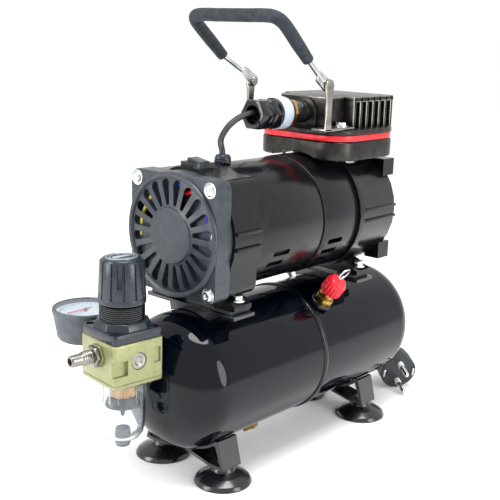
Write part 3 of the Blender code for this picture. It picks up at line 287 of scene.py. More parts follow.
# %% [markdown]
# ## Shaping helpers
# Almost every part of this machine is turned on a lathe, cut from a flat shape, or a bent tube.
# So three helpers make nearly all of it: a profile spun round an axis, an outline pushed to a
# thickness, and a block. Each starts from a few vertices or a bmesh primitive. Others join
# shapes, cut one with another, and turn the result into a piece that rides on its body.

# %% Shaping helpers
TURN_TO = {"Z": Matrix.Identity(4), "X": Matrix.Rotation(math.pi / 2, 4, "Y"),
           "Y": Matrix.Rotation(-math.pi / 2, 4, "X")}
SHARP_ANGLE = math.radians(35.0)         # a steeper edge than this stays a crease


def moved(x, y, z, axis="Z"):
    """A matrix that stands a shape at a place with its own Z along the axis."""
    return Matrix.Translation((x, y, z)) @ TURN_TO[axis]


def painted(shape, paint):
    for face in shape.faces:
        face.material_index = paint
    return shape


def round_points(shape, points, radius, segments=3):
    """Round the corners of an outline or a profile before it is spun or pushed."""
    bmesh.ops.bevel(shape, geom=points, offset=radius, offset_type="OFFSET", segments=segments,
                    profile=0.5, affect="VERTICES", clamp_overlap=True, material=-1)


def lathe(profile, where=Matrix.Identity(4), steps=96, closed=False, soften=0.0, paint=0):
    """Spin (radius, height) points round the shape's own Z axis."""
    shape = bmesh.new()
    points = [shape.verts.new((radius, 0.0, height)) for radius, height in profile]
    for first, second in zip(points, points[1:]):
        shape.edges.new((first, second))
    if closed:
        shape.edges.new((points[-1], points[0]))
    if soften:
        inner = points if closed else points[1:-1]
        round_points(shape, [v for v in inner if v.co.x > soften], soften)
    bmesh.ops.spin(shape, geom=shape.verts[:] + shape.edges[:], cent=(0, 0, 0), axis=(0, 0, 1),
                   angle=2 * math.pi, steps=steps, use_merge=True)
    bmesh.ops.remove_doubles(shape, verts=shape.verts, dist=0.003)
    bmesh.ops.recalc_face_normals(shape, faces=shape.faces)
    bmesh.ops.transform(shape, matrix=where, verts=shape.verts)
    return painted(shape, paint)


def slab(outline, thickness, where=Matrix.Identity(4), corner=0.0, rim=0.0, segments=2):
    """Push a flat outline to a thickness, then round its corners and its rims."""
    shape = bmesh.new()
    face = shape.faces.new([shape.verts.new((x, y, 0.0)) for x, y in outline])
    if corner:
        round_points(shape, face.verts[:], corner, 6)
    grown = bmesh.ops.extrude_face_region(shape, geom=shape.faces[:])
    top = [item for item in grown["geom"] if isinstance(item, bmesh.types.BMVert)]
    bmesh.ops.translate(shape, vec=(0, 0, thickness), verts=top)
    bmesh.ops.recalc_face_normals(shape, faces=shape.faces)
    if rim:
        rims = [e for e in shape.edges if abs(e.verts[0].co.z - e.verts[1].co.z) < 1e-6]
        bmesh.ops.bevel(shape, geom=rims, offset=rim, offset_type="OFFSET", segments=segments,
                        profile=0.5, affect="EDGES", clamp_overlap=True, material=-1)
    bmesh.ops.transform(shape, matrix=where, verts=shape.verts)
    return shape


def block(low, high, rim=0.0, where=Matrix.Identity(4), paint=0, rim_paint=None):
    """A box between two corners, with rounded edges that may have their own paint."""
    shape = bmesh.new()
    low = Vector(low)
    high = Vector(high)
    size = Matrix.Diagonal((*(high - low), 1.0))
    bmesh.ops.create_cube(shape, size=1.0, matrix=Matrix.Translation((low + high) / 2) @ size)
    painted(shape, paint)
    if rim:
        rounded = bmesh.ops.bevel(shape, geom=shape.edges[:], offset=rim, offset_type="OFFSET",
                                  segments=3, profile=0.5, affect="EDGES", clamp_overlap=True,
                                  material=-1)
        for face in rounded["faces"]:
            face.material_index = paint if rim_paint is None else rim_paint
    bmesh.ops.transform(shape, matrix=where, verts=shape.verts)
    return shape


def prism(sides, radius, start, end, where=Matrix.Identity(4), rim=0.5, paint=0, tip=None):
    """A bar of several sides from start to end along its own Z, such as a hexagon nut."""
    shape = bmesh.new()
    middle = Matrix.Translation((0, 0, (start + end) / 2))
    bmesh.ops.create_cone(shape, cap_ends=True, cap_tris=False, segments=sides, radius1=radius,
                          radius2=tip or radius, depth=end - start, matrix=middle)
    if rim:
        bmesh.ops.bevel(shape, geom=shape.edges[:], offset=rim, offset_type="OFFSET", segments=2,
                        profile=0.5, affect="EDGES", clamp_overlap=True, material=-1)
    bmesh.ops.transform(shape, matrix=where, verts=shape.verts)
    return painted(shape, paint)


def together(*shapes):
    """All the shapes in the first one."""
    for other in shapes[1:]:
        mesh = bpy.data.meshes.new("passing")
        other.to_mesh(mesh)
        other.free()
        shapes[0].from_mesh(mesh)
        bpy.data.meshes.remove(mesh)
    return shapes[0]


def as_object(name, shape):
    mesh = bpy.data.meshes.new(name)
    shape.to_mesh(mesh)
    shape.free()
    obj = bpy.data.objects.new(name, mesh)
    bpy.context.scene.collection.objects.link(obj)
    return obj


def combined(shape, *others):
    """Cut the other shapes out of the first."""
    body = as_object("blank", shape)
    tools = [as_object("tool", other) for other in others]
    for tool in tools:
        change = body.modifiers.new("Change", "BOOLEAN")
        change.operation = "DIFFERENCE"
        change.solver = "EXACT"
        change.object = tool
    bpy.context.view_layer.update()
    mesh = bpy.data.meshes.new_from_object(body.evaluated_get(
        bpy.context.evaluated_depsgraph_get()))
    result = bmesh.new()
    result.from_mesh(mesh)
    for used in [body, *tools]:
        bpy.data.meshes.remove(used.data)
    bpy.data.meshes.remove(mesh)
    return result


def piece(name, shape, materials, body="compressor", stands_for=(), edge=0.0,
          edge_wear_and_highlight=None):
    """Finish a shape: into the frame, smooth, with soft edges, riding on its body."""
    bmesh.ops.transform(shape, matrix=TO_FRAME, verts=shape.verts)
    obj = as_object(name, shape)
    for material in materials:
        obj.data.materials.append(material)
    obj.data.shade_smooth()
    obj.data.set_sharp_from_angle(angle=SHARP_ANGLE)
    if edge:
        soft = obj.modifiers.new("Soft edges", "BEVEL")
        soft.width = edge * MM
        soft.segments = 2
        soft.limit_method = "ANGLE"
        soft.angle_limit = SHARP_ANGLE
        # The bevel's faces take a lighter material: worn paint and a painted highlight.
        if edge_wear_and_highlight:
            obj.data.materials.append(edge_wear_and_highlight)
            soft.material = len(materials)
    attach(obj, body)
    if stands_for:
        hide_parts(*stands_for)
    return obj


def softened(node, material, body="compressor", edge=0.35, edge_wear_and_highlight=None):
    """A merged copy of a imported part, with its edges rounded."""
    shape = bmesh.new()
    shape.from_mesh(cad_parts[node].data)
    bmesh.ops.transform(shape, matrix=TO_FRAME.inverted(), verts=shape.verts)
    bmesh.ops.remove_doubles(shape, verts=shape.verts, dist=0.002)
    bmesh.ops.dissolve_limit(shape, angle_limit=math.radians(1.0), verts=shape.verts,
                             edges=shape.edges)
    for face in shape.faces:
        face.material_index = 0
    return piece("soft_" + node, shape, [material], body, [node], edge, edge_wear_and_highlight=edge_wear_and_highlight)


def arc(radius, first, last, steps, centre=(0.0, 0.0)):
    """Points of an arc between two angles in degrees."""
    angles = [math.radians(first + (last - first) * i / steps) for i in range(steps + 1)]
    return [(centre[0] + radius * math.cos(a), centre[1] + radius * math.sin(a)) for a in angles]


def rectangle(half_x, half_y, centre=(0.0, 0.0)):
    return [(centre[0] + sx * half_x, centre[1] + sy * half_y)
            for sx, sy in ((-1, -1), (1, -1), (1, 1), (-1, 1))]


def pan_screw(x, y, z, axis="Z", radius=4.0, tall=2.6, paint=0):
    """A pan-head screw with a washer and a round socket."""
    where = moved(x, y, z, axis)
    washer = lathe([(radius * 0.3, 0.6), (radius * 1.35, 0.6), (radius * 1.35, 0.0),
                    (radius * 0.3, 0.0)], where, 32, True, 0.2, paint)
    socket = radius * 0.42
    head = lathe([(0.0, tall - 1.2), (socket, tall - 1.2), (socket, tall), (radius * 0.8, tall),
                  (radius, tall * 0.62), (radius, 0.6), (0.0, 0.6)], where, 32, False, 0.35, paint)
    return together(washer, head)


def along_x(x, y, z):
    """Stands a YZ outline up: its own x runs along Y and its own y runs up."""
    return Matrix.Translation((x, y, z)) @ Matrix(((0, 0, 1, 0), (1, 0, 0, 0), (0, 1, 0, 0),
                                                    (0, 0, 0, 1)))


print("helpers ready")

# %% [markdown]
# ## Stage and light
# A pale floor runs far behind the machine, and a white room of soft light surrounds it. Two
# large lamps shape the black surfaces: on glossy enamel you do not see colour but the lamps'
# reflections, so their size and place decide how round the tank looks.

# %% Stage and light
floor = bmesh.new()
bmesh.ops.create_grid(floor, x_segments=1, y_segments=1, size=60.0)
floor = as_object("floor", floor)
FLOOR_PAPER = finish("pale_paper", ("#fafafb", "#fdfdfd"), (0.6, 0.75), 6.0, 0.01)
floor.data.materials.append(FLOOR_PAPER)

world = bpy.data.worlds.new("white room")
world.use_nodes = True
world.node_tree.nodes["Background"].inputs["Color"].default_value = (1.0, 1.0, 1.0, 1.0)
world.node_tree.nodes["Background"].inputs["Strength"].default_value = 1.04
bpy.context.scene.world = world
bpy.context.scene.view_settings.view_transform = "Standard"


def soft_lamp(name, place, aim, size, power):
    lamp = bpy.data.lights.new(name, "AREA")
    lamp.shape = "ELLIPSE"
    lamp.size, lamp.size_y = size
    lamp.energy = power
    obj = bpy.data.objects.new(name, lamp)
    bpy.context.scene.collection.objects.link(obj)
    place = at(*place)
    obj.location = place
    obj.rotation_euler = (at(*aim) - place).to_track_quat("-Z", "Y").to_euler()


soft_lamp("overhead", (-150, -250, 1300), (0, 0, 150), (0.9, 0.5), 14.0)
soft_lamp("left window", (-900, 350, 500), (-50, 0, 150), (0.4, 0.9), 7.0)
soft_lamp("front card", (150, -1100, 420), (0, 0, 150), (0.5, 0.8), 6.0)
print(len(bpy.data.lights), "lamps")

# %% [markdown]
# ## Cords
# Cords come before the rest, because where they lie decides how much room the model needs. The
# mains lead leaves the motor's far side, drops behind the tank, winds into a flat two-layer coil
# out of sight, and comes round to the plug that lies by the right-hand end. A curve made of
# Bezier points with automatic handles passes through its points without a kink.

# %% Cords
CORD_DIAMETER = 6.5
COIL_MIDDLE = Vector((22.0, 92.0, 0.0))
LOW_LAYER = 3.5
HIGH_LAYER = 10.05
PLUG_TURN = math.radians(55.0)
PLUG_TILT = math.radians(15.0)
PLUG_FACE = Vector((151.5, -26.1, 17.4))
plug_back = Vector((math.cos(PLUG_TURN) * math.cos(PLUG_TILT),
                    math.sin(PLUG_TURN) * math.cos(PLUG_TILT), math.sin(PLUG_TILT)))
plug_end = PLUG_FACE + plug_back * 41.5

COIL_PLAN = [(0.0, 51.35, HIGH_LAYER), (0.25, 44.25, HIGH_LAYER), (2.25, 31.0, HIGH_LAYER),
             (2.5, 30.5, 6.8), (2.75, 31.0, LOW_LAYER), (4.75, 44.4, LOW_LAYER),
             (5.25, 51.35, LOW_LAYER)]


def coil_point(turns):
    """Clockwise from the left: in through the upper layer, out through the lower one."""
    for (t0, r0, z0), (t1, r1, z1) in zip(COIL_PLAN, COIL_PLAN[1:]):
        if turns <= t1:
            share = (turns - t0) / (t1 - t0)
            break
    angle = math.pi - 2 * math.pi * turns
    radius = r0 + (r1 - r0) * share
    height = z0 + (z1 - z0) * share
    return COIL_MIDDLE + Vector((radius * math.cos(angle), radius * math.sin(angle), height))


drop = [(-25, 51.0, 187), (-25, 56.0, 187), (-25, 60.0, 187), (-25.3, 73.5, 183.4),
        (-25.8, 83.4, 173.5), (-26.3, 87.0, 160), (-27.0, 87.0, 135), (-27.6, 84.5, 95),
        (-27.8, 79.5, 62), (-27.4, 78.0, 38), (-28.3, 81.75, 24.05), (-29.35, 92.0, 13.8)]
coil = [coil_point(i / 16) for i in range(1, 85)]
run = [(47, 143.35, 3.95), (85, 140.0, 3.95), (130, 126.0, 3.95), (165, 101.0, 3.95),
       (185, 74.0, 7.8), (190, 46.0, 21.5), plug_end + plug_back * 16.0, plug_end]
LEAD_ROUTE = [at(*p) for p in [*drop, *coil, *run]]

CABLE_ROUTE = [at(*p) for p in [(-24.5, 0, 268.0), (-36.0, 0.5, 269.5), (-45.0, 2.0, 268.0),
                                (-55.0, 4.0, 263.5), (-63.0, 5.0, 257.0), (-68.0, 4.5, 250.0),
                                (-70.4, 0.6, 243.0), (-70.2, 0, 236.6)]]


def bezier_cord(name, points, diameter_mm, material):
    curve = bpy.data.curves.new(name, "CURVE")
    curve.dimensions = "3D"
    curve.resolution_u = 6
    curve.bevel_depth = diameter_mm / 2 * MM
    curve.bevel_resolution = 3
    curve.use_fill_caps = True
    spline = curve.splines.new("BEZIER")
    spline.bezier_points.add(len(points) - 1)
    for point, place in zip(spline.bezier_points, points):
        point.co = place
        point.handle_left_type = "AUTO"
        point.handle_right_type = "AUTO"
    curve.materials.append(material)
    obj = bpy.data.objects.new(name, curve)
    bpy.context.scene.collection.objects.link(obj)
    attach(obj, "compressor")
    return obj


LEAD = bezier_cord("mains_lead", LEAD_ROUTE, CORD_DIAMETER, CORD_PVC)
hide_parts("power_cord_upper", "cord_coil", "power_cord_lower")
CABLE = bezier_cord("switch_lead", CABLE_ROUTE, 4.6, CORD_PVC)
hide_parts("switch_cable")

# %% [markdown]
# ## Plug and lead ends
# The plug is one turned body, wide at its face and narrow at its neck. Its two pins have white
# insulating collars. Where the lead leaves the motor a soft tapered sleeve keeps it from
# kinking; it is a tube that follows the lead and thins along it.


# %% Plug and lead ends
def tube(points, radii, sides=4):
    """A round tube through the points, with one radius or one for each point."""
    curve = bpy.data.curves.new("tube", "CURVE")
    curve.dimensions = "3D"
    curve.resolution_u = 8
    curve.bevel_depth = 1.0
    curve.bevel_resolution = sides
    curve.use_fill_caps = True
    spline = curve.splines.new("BEZIER")
    spline.bezier_points.add(len(points) - 1)
    if not isinstance(radii, (list, tuple)):
        radii = [radii] * len(points)
    for point, place, radius in zip(spline.bezier_points, points, radii):
        point.co = place
        point.radius = radius
        point.handle_left_type = "AUTO"
        point.handle_right_type = "AUTO"
    holder = bpy.data.objects.new("tube", curve)
    mesh = bpy.data.meshes.new_from_object(holder)
    shape = bmesh.new()
    shape.from_mesh(mesh)
    bpy.data.meshes.remove(mesh)
    bpy.data.objects.remove(holder)
    bmesh.ops.remove_doubles(shape, verts=shape.verts, dist=0.001)
    bmesh.ops.recalc_face_normals(shape, faces=shape.faces)
    return shape


PLUG = Matrix.Translation(PLUG_FACE) @ Matrix.Rotation(PLUG_TURN, 4, "Z") @ Matrix.Rotation(
    math.pi / 2 - PLUG_TILT, 4, "Y")
plug = lathe([(0.0, 0.6), (12.6, 0.6), (13.2, 0.0), (17.2, 0.0), (17.2, 14.0), (13.0, 30.0),
              (7.0, 34.5), (6.2, 36.0), (5.0, 46.0), (3.2, 46.0), (0.0, 44.0)],
             PLUG, 64, False, 0.9)
for side in (-9.5, 9.5):
    on_face = PLUG @ Matrix.Translation((side, 0, 0))
    collar = lathe([(0.0, -5.0), (2.6, -5.0), (2.8, -4.4), (2.8, 1.0), (0.0, 1.0)], on_face, 24,
                   paint=1)
    pin = lathe([(0.0, -19.0), (1.4, -19.0), (2.3, -17.6), (2.3, -4.5), (0.0, -4.5)], on_face,
                24, paint=2)
    together(plug, collar, pin)
for turn in (-1, 1):
    contact = block((-4.0, turn * 14.4 - 1.0, -1.0), (4.0, turn * 14.4 + 1.0, 10.0), 0.5, PLUG, 2)
    together(plug, contact)
for step in range(5):
    ridge = lathe([(15.4 - step * 1.15, 19.0 + step * 2.6), (16.4 - step * 1.15, 19.6 + step * 2.6),
                   (15.0 - step * 1.15, 20.4 + step * 2.6)], PLUG, 48, True)
    together(plug, ridge)
PLUG_PIECE = piece("mains_plug", plug, [PLUG_PVC, COLLAR_NYLON, NICKEL],
                   stands_for=["power_plug"])

sleeve_route = [(-25, 55.0, 187), (-25, 60.0, 187), (-25.15, 67.0, 186.1), (-25.3, 73.5, 183.4),
                (-25.55, 79.1, 179.1)]
piece("lead_sleeve", tube(sleeve_route, [5.6, 5.2, 4.9, 4.5, 4.1], 5), [PLUG_PVC])
gland = together(prism(6, 7.4, 47.4, 51.5, moved(-25, 0, 187, "Y"), 0.5),
                 lathe([(3.6, 51.5), (6.6, 51.5), (6.4, 55.0), (5.2, 58.0), (3.6, 58.0)],
                       moved(-25, 0, 187, "Y"), 32, True, 0.4))
piece("lead_gland", gland, [BLACK_ABS], stands_for=["power_gland"])

print("the plug has", len(PLUG_PIECE.data.polygons), "faces")

# %% [markdown]
# ## Tank
# The tank is two pressed cups welded round the middle. Each is a profile spun round the tank's
# long axis: a flat-ended ellipse for the dome, then a straight wall. The weld is its own ring,
# proud of the shell, with a ripple in its enamel from the welder's passes.

# %% Tank
TANK_RADIUS = 52.0
TANK_AXIS = 75.0
STRAIGHT = 109.0
DOME = 35.4
for side, name in ((-1, "left"), (1, "right")):
    cup = [(TANK_RADIUS * math.cos(math.radians(a)), side * (STRAIGHT + DOME * math.sin(
        math.radians(a)))) for a in range(90, 0, -5)]
    cup += [(TANK_RADIUS, side * STRAIGHT), (TANK_RADIUS, side * 0.15), (0.0, side * 0.15)]
    cup[0] = (0.0, cup[0][1])
    piece(f"tank_cup_{name}", lathe(cup, moved(0, 0, TANK_AXIS, "X"), 128), [TANK_ENAMEL],
          stands_for=[f"tank_{name}_half"])
bead = [(51.0, -2.6)] + [(r, x) for x, r in arc(1.5, 180, 0, 10, (0.0, 52.0))] + [(51.0, 2.6)]
bead = [(r, x * 1.6) for r, x in bead[1:-1]]
piece("weld_bead", lathe([(51.0, -2.6), *bead, (51.0, 2.6)], moved(0, 0, TANK_AXIS, "X"), 128,
                         True), [WELD_ENAMEL])
softened("tank_nipple", BRACKET_PAINT)
softened("tank_drain_cock", BRASS, "tank_drain")
print("the tank is", 2 * TANK_RADIUS, "mm across and", 2 * (STRAIGHT + DOME), "mm long")

# %% [markdown]
# ## Relief valve
# A brass safety valve leans out of the tank's near shoulder. Its red cap has ribs so that it can
# be gripped, which an outline with a wavy edge gives, and its pull ring moves on its own body.

# %% Relief valve
VALVE_LEAN = math.radians(38)
VALVE = Matrix.Translation((14, 0, TANK_AXIS)) @ Matrix.Rotation(VALVE_LEAN, 4, "X")
VALVE = VALVE @ Matrix.Translation((0, 0, TANK_RADIUS))
ribs = [((8.8 if i % 4 < 2 else 8.1) * math.cos(math.tau * i / 72),
         (8.8 if i % 4 < 2 else 8.1) * math.sin(math.tau * i / 72)) for i in range(72)]
valve = together(
    prism(6, 9.7, 0.7, 4.2, VALVE, 0.5, 2), prism(6, 8.2, 4.2, 10.2, VALVE, 0.5, 1),
    lathe([(0.0, 10.0), (6.6, 10.0), (6.6, 16.0), (0.0, 16.0)], VALVE, 32, False, 0.5, 1),
    slab(ribs, 9.5, VALVE @ Matrix.Translation((0, 0, 16.0)), rim=0.3),
    lathe([(0.0, 25.0), (8.2, 25.0), (8.2, 26.5), (6.2, 29.6), (1.8, 30.0), (0.0, 30.0)], VALVE,
          48, False, 0.8))
piece("relief_valve", valve, [CAP_RED, BRASS, BRACKET_PAINT], stands_for=["safety_valve"])
ring_place = VALVE @ Matrix.Translation((0, 0, 36.5)) @ Matrix.Rotation(math.pi / 2, 4, "X")
ring = together(lathe([(5.4 + x, z) for x, z in arc(0.8, 0, 330, 11)], ring_place, 64, True),
                lathe([(0.0, 25.5), (1.2, 25.5), (1.2, 31.6), (0.0, 31.6)], VALVE, 16))
piece("relief_pull_ring", ring, [NICKEL], "valve_ring", ["safety_valve_ring"])
print("the relief valve starts at", [round(v, 1) for v in VALVE.translation])

# %% [markdown]
# ## Feet, brackets and saddles
# Bent steel strips hold suction-cup feet under the tank, and welded saddles carry the motor. The
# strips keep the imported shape, merged and with rounded edges. Cups are spun again with more
# steps, and each has the screw that fixes it to its strip.

# %% Feet, brackets and saddles
FOOT_X = (-97.0, 79.0)
SADDLE_X = (-92.0, 56.0)
FOOT_OFFSET = 33.0                       # each cup from the middle line
PAD_OFFSET = 33.0
BOLT_OFFSET = 38.5
cup = [(0.0, 12.7), (8.0, 12.7), (9.2, 9.5), (15.0, 7.0), (20.3, 3.6), (21.9, 1.0), (21.9, 0.0),
       (19.6, 0.0), (13.0, 2.4), (0.0, 4.0)]
for end, foot_x, saddle_x in zip(("left", "right"), FOOT_X, SADDLE_X):
    softened(f"{end}_foot_bracket", BRACKET_PAINT, edge=0.5)
    softened(f"{end}_saddle", BRACKET_PAINT, edge=0.5)
    for side, sign in (("near", -1), ("far", 1)):
        rubber = lathe(cup, moved(foot_x, sign * FOOT_OFFSET, 0), 64, False, 0.5)
        piece(f"cup_foot_{end}_{side}", rubber, [CUP_RUBBER], stands_for=[f"foot_{end}_{side}"])
        screw = pan_screw(foot_x, sign * FOOT_OFFSET, 15.5, "Z", 3.6, 3.4)
        piece(f"foot_screw_{end}_{side}", screw, [SCREW_STEEL])
        bolt = together(
            lathe([(0.0, 0.0), (5.4, 0.0), (5.4, 1.2), (0.0, 1.2)],
                  moved(saddle_x, sign * BOLT_OFFSET, 141.0), 32, False, 0.2),
            prism(6, 4.6, 1.2, 4.8, moved(saddle_x, sign * BOLT_OFFSET, 141.0), 0.4))
        piece(f"motor_bolt_{end}_{side}", bolt, [SCREW_STEEL])
        pad_y = sign * PAD_OFFSET
        pad = block((saddle_x - 10, pad_y - 9, 132.6), (saddle_x + 10, pad_y + 9, 135.4), 0.6)
        piece(f"motor_pad_{end}_{side}", pad, [PAD_RUBBER])
print("feet and saddles done")

# %% [markdown]
# ## Fan cover
# The cover is moulded in one shot: a square flange with a raised ring, and a grille of twenty
# teardrop slots round a plain hub. The slots are cut with one Boolean, because their round ends
# matter to the look. Through them shows the dark fan, and the motor's wires run behind.

# %% Fan cover
MOTOR_AXIS = 187.0
TURN_TO["-X"] = Matrix.Rotation(-math.pi / 2, 4, "Y")
COVER_BASE = -120.4
SLOTS = 20
COVER_SCREW = 37.0                       # each screw from the motor's axis


def cover_outline(radius, ear, corner):
    """A circle with four rounded ears, one quarter at a time."""
    half = math.degrees(math.acos(ear / radius))
    quarter = arc(radius, -half, half, 12) + arc(corner, 0, 90, 8, (ear - corner, ear - corner))
    outline = []
    for turn in (0, 90, 180, 270):
        spin = Matrix.Rotation(math.radians(turn), 2)
        outline += [tuple(spin @ Vector(p)) for p in quarter]
    return outline


def slot_cutter(turn):
    outline = [(21.8, -1.3), (37.0, -3.6), *arc(3.6, -80, 80, 8, (37.0, 0.0)), (37.0, 3.6),
               (21.8, 1.3)]
    spin = Matrix.Rotation(math.radians(turn), 4, "Z")
    return slab(outline, 8.0, moved(COVER_BASE + 3.0, 0, MOTOR_AXIS, "-X") @ spin)


cover_axis = moved(COVER_BASE, 0, MOTOR_AXIS, "-X")
flange = slab(cover_outline(45.5, 43.5, 8.0), 14.3, along_x(COVER_BASE, 0, MOTOR_AXIS))
bore = lathe([(0.0, -20.0), (41.6, -20.0), (41.6, 5.0), (0.0, 5.0)], cover_axis, 96)
flange = combined(flange, bore)
ring = lathe([(41.2, -2.0), (41.2, 0.9), (41.9, 1.8), (43.0, 2.4), (44.2, 2.5), (45.0, 1.7),
              (45.3, 0.4), (45.3, -2.0)], cover_axis, 128, True)
grille = lathe([(0.0, -0.8), (0.0, 2.6), (19.8, 2.6), (20.3, 1.6), (21.2, 1.2), (36.0, 1.5),
                (41.4, 0.6), (41.4, -0.8)], cover_axis, 128)
slot_cutters = [slot_cutter(360 / SLOTS * (i + 0.5)) for i in range(SLOTS)]
grille = combined(grille, together(*slot_cutters))
piece("fan_grille", painted(together(flange, ring, grille), 0), [COVER_NYLON],
      stands_for=["fan_cover"], edge=0.3)
for y, z in ((-1, -1), (1, -1), (-1, 1), (1, 1)):
    screw = pan_screw(COVER_BASE, y * COVER_SCREW, MOTOR_AXIS + z * COVER_SCREW, "-X", 4.2, 2.7)
    piece(f"cover_screw_{'near' if y < 0 else 'far'}_{'low' if z < 0 else 'high'}", screw,
          [SCREW_STEEL])

WIRE_RUNS = {"red": [(10, 31), (22, 33), (32, 25), (38, 12)],
             "white": [(14, 38), (28, 30), (38, 18), (37, 2)],
             "blue": [(4, 36), (16, 37), (30, 22), (33, 6)],
             "yellow": [(-36, -6), (-35, 8), (-30, 18), (-20, 30)]}
for name, route in WIRE_RUNS.items():
    points = [(-117.0, -y, MOTOR_AXIS + z) for y, z in route]
    piece(f"fan_wire_{name}", tube(points, 1.5, 2), [WIRE_PVC[name]])
print(SLOTS, "slots in the grille,", len(WIRE_RUNS), "wires behind it")

# %% [markdown]
# ## Motor
# The front bell and rear cover keep their imported shapes, with a bevel that only their longer
# edges have room for, and get a few of the ribs that a die leaves. The two shells are rolled
# tubes, spun again at 128 steps so that their highlights run straight, with slanted louvres
# cut low on the near side.

# %% Motor
# The motor's bevelled edges take a lighter paint: wear and a painted highlight.
softened("front_bell", MOTOR_PAINT, edge=0.9, edge_wear_and_highlight=WORN_EDGE_AND_HIGHLIGHT)
softened("rear_cover", MOTOR_PAINT, edge=0.9, edge_wear_and_highlight=WORN_EDGE_AND_HIGHLIGHT)
for sign, side in ((-1, "near"), (1, "far")):
    ribs = together(
        block((-104.5, sign * 47.8 - 1.5, 180.0), (-79.0, sign * 47.8 + 1.5, 182.6), 0.5),
        block((-104.5, sign * 47.8 - 1.5, 191.6), (-79.0, sign * 47.8 + 1.5, 194.2), 0.5))
    piece(f"bell_ribs_{side}", ribs, [MOTOR_PAINT])
    ribs = together(
        block((46.0, sign * 48.9 - 1.0, 181.0), (90.0, sign * 48.9 + 1.0, 183.4), 0.6),
        block((46.0, sign * 48.9 - 1.0, 190.0), (90.0, sign * 48.9 + 1.0, 192.4), 0.6))
    piece(f"rear_ribs_{side}", ribs, [MOTOR_PAINT])


def louvres(first_x):
    shapes = []
    for row, angle in enumerate((-20, -31, -42)):
        where = Matrix.Translation((first_x - 3.5 * row, 0, MOTOR_AXIS))
        where = where @ Matrix.Rotation(math.radians(-angle), 4, "X")
        where = where @ Matrix.Translation((0, -47.0, 0))
        shapes.append(block((-9.0, -6.0, -2.2), (9.0, 6.0, 2.2), 0.8, where))
    return shapes


def motor_shell(start, end, radius):
    return lathe([(44.5, start), (radius, start), (radius, end), (44.5, end)],
                 moved(0, 0, MOTOR_AXIS, "X"), 128, True, 0.5)


left_shell = combined(motor_shell(-76.7, -5.1, 47.0), *louvres(-51.0))
piece("shell_left", painted(left_shell, 0), [MOTOR_PAINT], stands_for=["motor_shell_left"],
      edge=0.4, edge_wear_and_highlight=WORN_EDGE_AND_HIGHLIGHT)
PUMP_X = 55.0
well = lathe([(0.0, 195.0), (28.3, 195.0), (28.3, 260.0), (0.0, 260.0)], moved(PUMP_X, 0, 0), 64)
right_shell = combined(motor_shell(-4.8, 38.8, 47.8), *louvres(13.0), well)
piece("shell_right", painted(right_shell, 0), [MOTOR_PAINT], stands_for=["motor_shell_right"],
      edge=0.4, edge_wear_and_highlight=WORN_EDGE_AND_HIGHLIGHT)

REAR_SCREW = 35.5
rear = moved(93.8, 0, MOTOR_AXIS, "X")
face = lathe([(0.0, -0.5), (0.0, 1.6), (5.0, 1.6), (5.6, 2.4), (12.0, 2.4), (12.8, 1.6), (12.8, -0.5)],
             rear, 64, False, 0.3)
for i in range(8):
    spoke = rear @ Matrix.Rotation(math.tau * (i + 0.5) / 8, 4, "Z")
    together(face, block((12.0, -1.1, -0.5), (41.0, 1.1, 1.2), 0.5, spoke))
together(face, lathe([(26.0, -0.5), (26.0, 1.0), (28.0, 1.0), (28.0, -0.5)], rear, 96, True, 0.3))
for y in (-REAR_SCREW, REAR_SCREW):
    for z in (-REAR_SCREW, REAR_SCREW):
        together(face, pan_screw(93.4, y, MOTOR_AXIS + z, "X", 3.6, 2.2, 1))
piece("rear_face_ribs", face, [MOTOR_PAINT, SCREW_STEEL])

INSIDE = {"stator_core": SHADED_CORE_IRON, "rotor_core": SHADED_CORE_IRON, "stator_winding": WINDING_WIRE,
          "motor_shaft": NICKEL, "front_bearing": NICKEL, "rear_bearing": NICKEL,
          "crank_eccentric": STRIP_STEEL, "connecting_rod": GUNMETAL, "cooling_fan": FAN_NYLON,
          "adjusting_spindle": NICKEL, "regulator_spring": NICKEL}
for node, material in INSIDE.items():
    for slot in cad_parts[node].material_slots:
        slot.material = material
print(len(INSIDE), "inner parts have their finish")

# %% [markdown]
# ## Pump
# A bright turned barrel carries the valve plate, the red seal and the finned head. The head is
# built from closed blocks that overlap: a core, seven fins on each side, and a roof over them.
# Their rounded edges take a brighter colour, rubbed paint and a painted highlight, so that each
# fin catches a line of light.

# %% Pump
HEAD_HALF = (42.5, 45.5)
HEAD_CORNER = 22.0
FINS = 7
PORT_HEIGHT = 268.0
barrel = lathe([(20.0, 209.0), (28.0, 209.0), (28.0, 231.6), (20.0, 231.6)], moved(PUMP_X, 0, 0), 96,
               True, 0.4)
piece("pump_barrel", barrel, [BARREL_STEEL], stands_for=["cylinder"])
head_outline = rectangle(*HEAD_HALF, (PUMP_X, 0.0))
plate = slab(head_outline, 15.0, Matrix.Translation((0, 0, 232.0)), HEAD_CORNER, 1.6, 4)
motor_relief = lathe([(0.0, 0.0), (50.6, 0.0), (50.6, 110.0), (0.0, 110.0)],
                     moved(0, 0, MOTOR_AXIS, "X"), 96)
barrel_seat = lathe([(0.0, 150.0), (28.0, 150.0), (28.0, 260.0), (0.0, 260.0)],
                    moved(PUMP_X, 0, 0), 96)
plate = combined(plate, combined(motor_relief, barrel_seat))
piece("valve_plate_casting", painted(plate, 0), [GUNMETAL], stands_for=["valve_plate"])

head = slab(head_outline, 4.0, Matrix.Translation((0, 0, 252.0)), HEAD_CORNER, 0.8, 3)
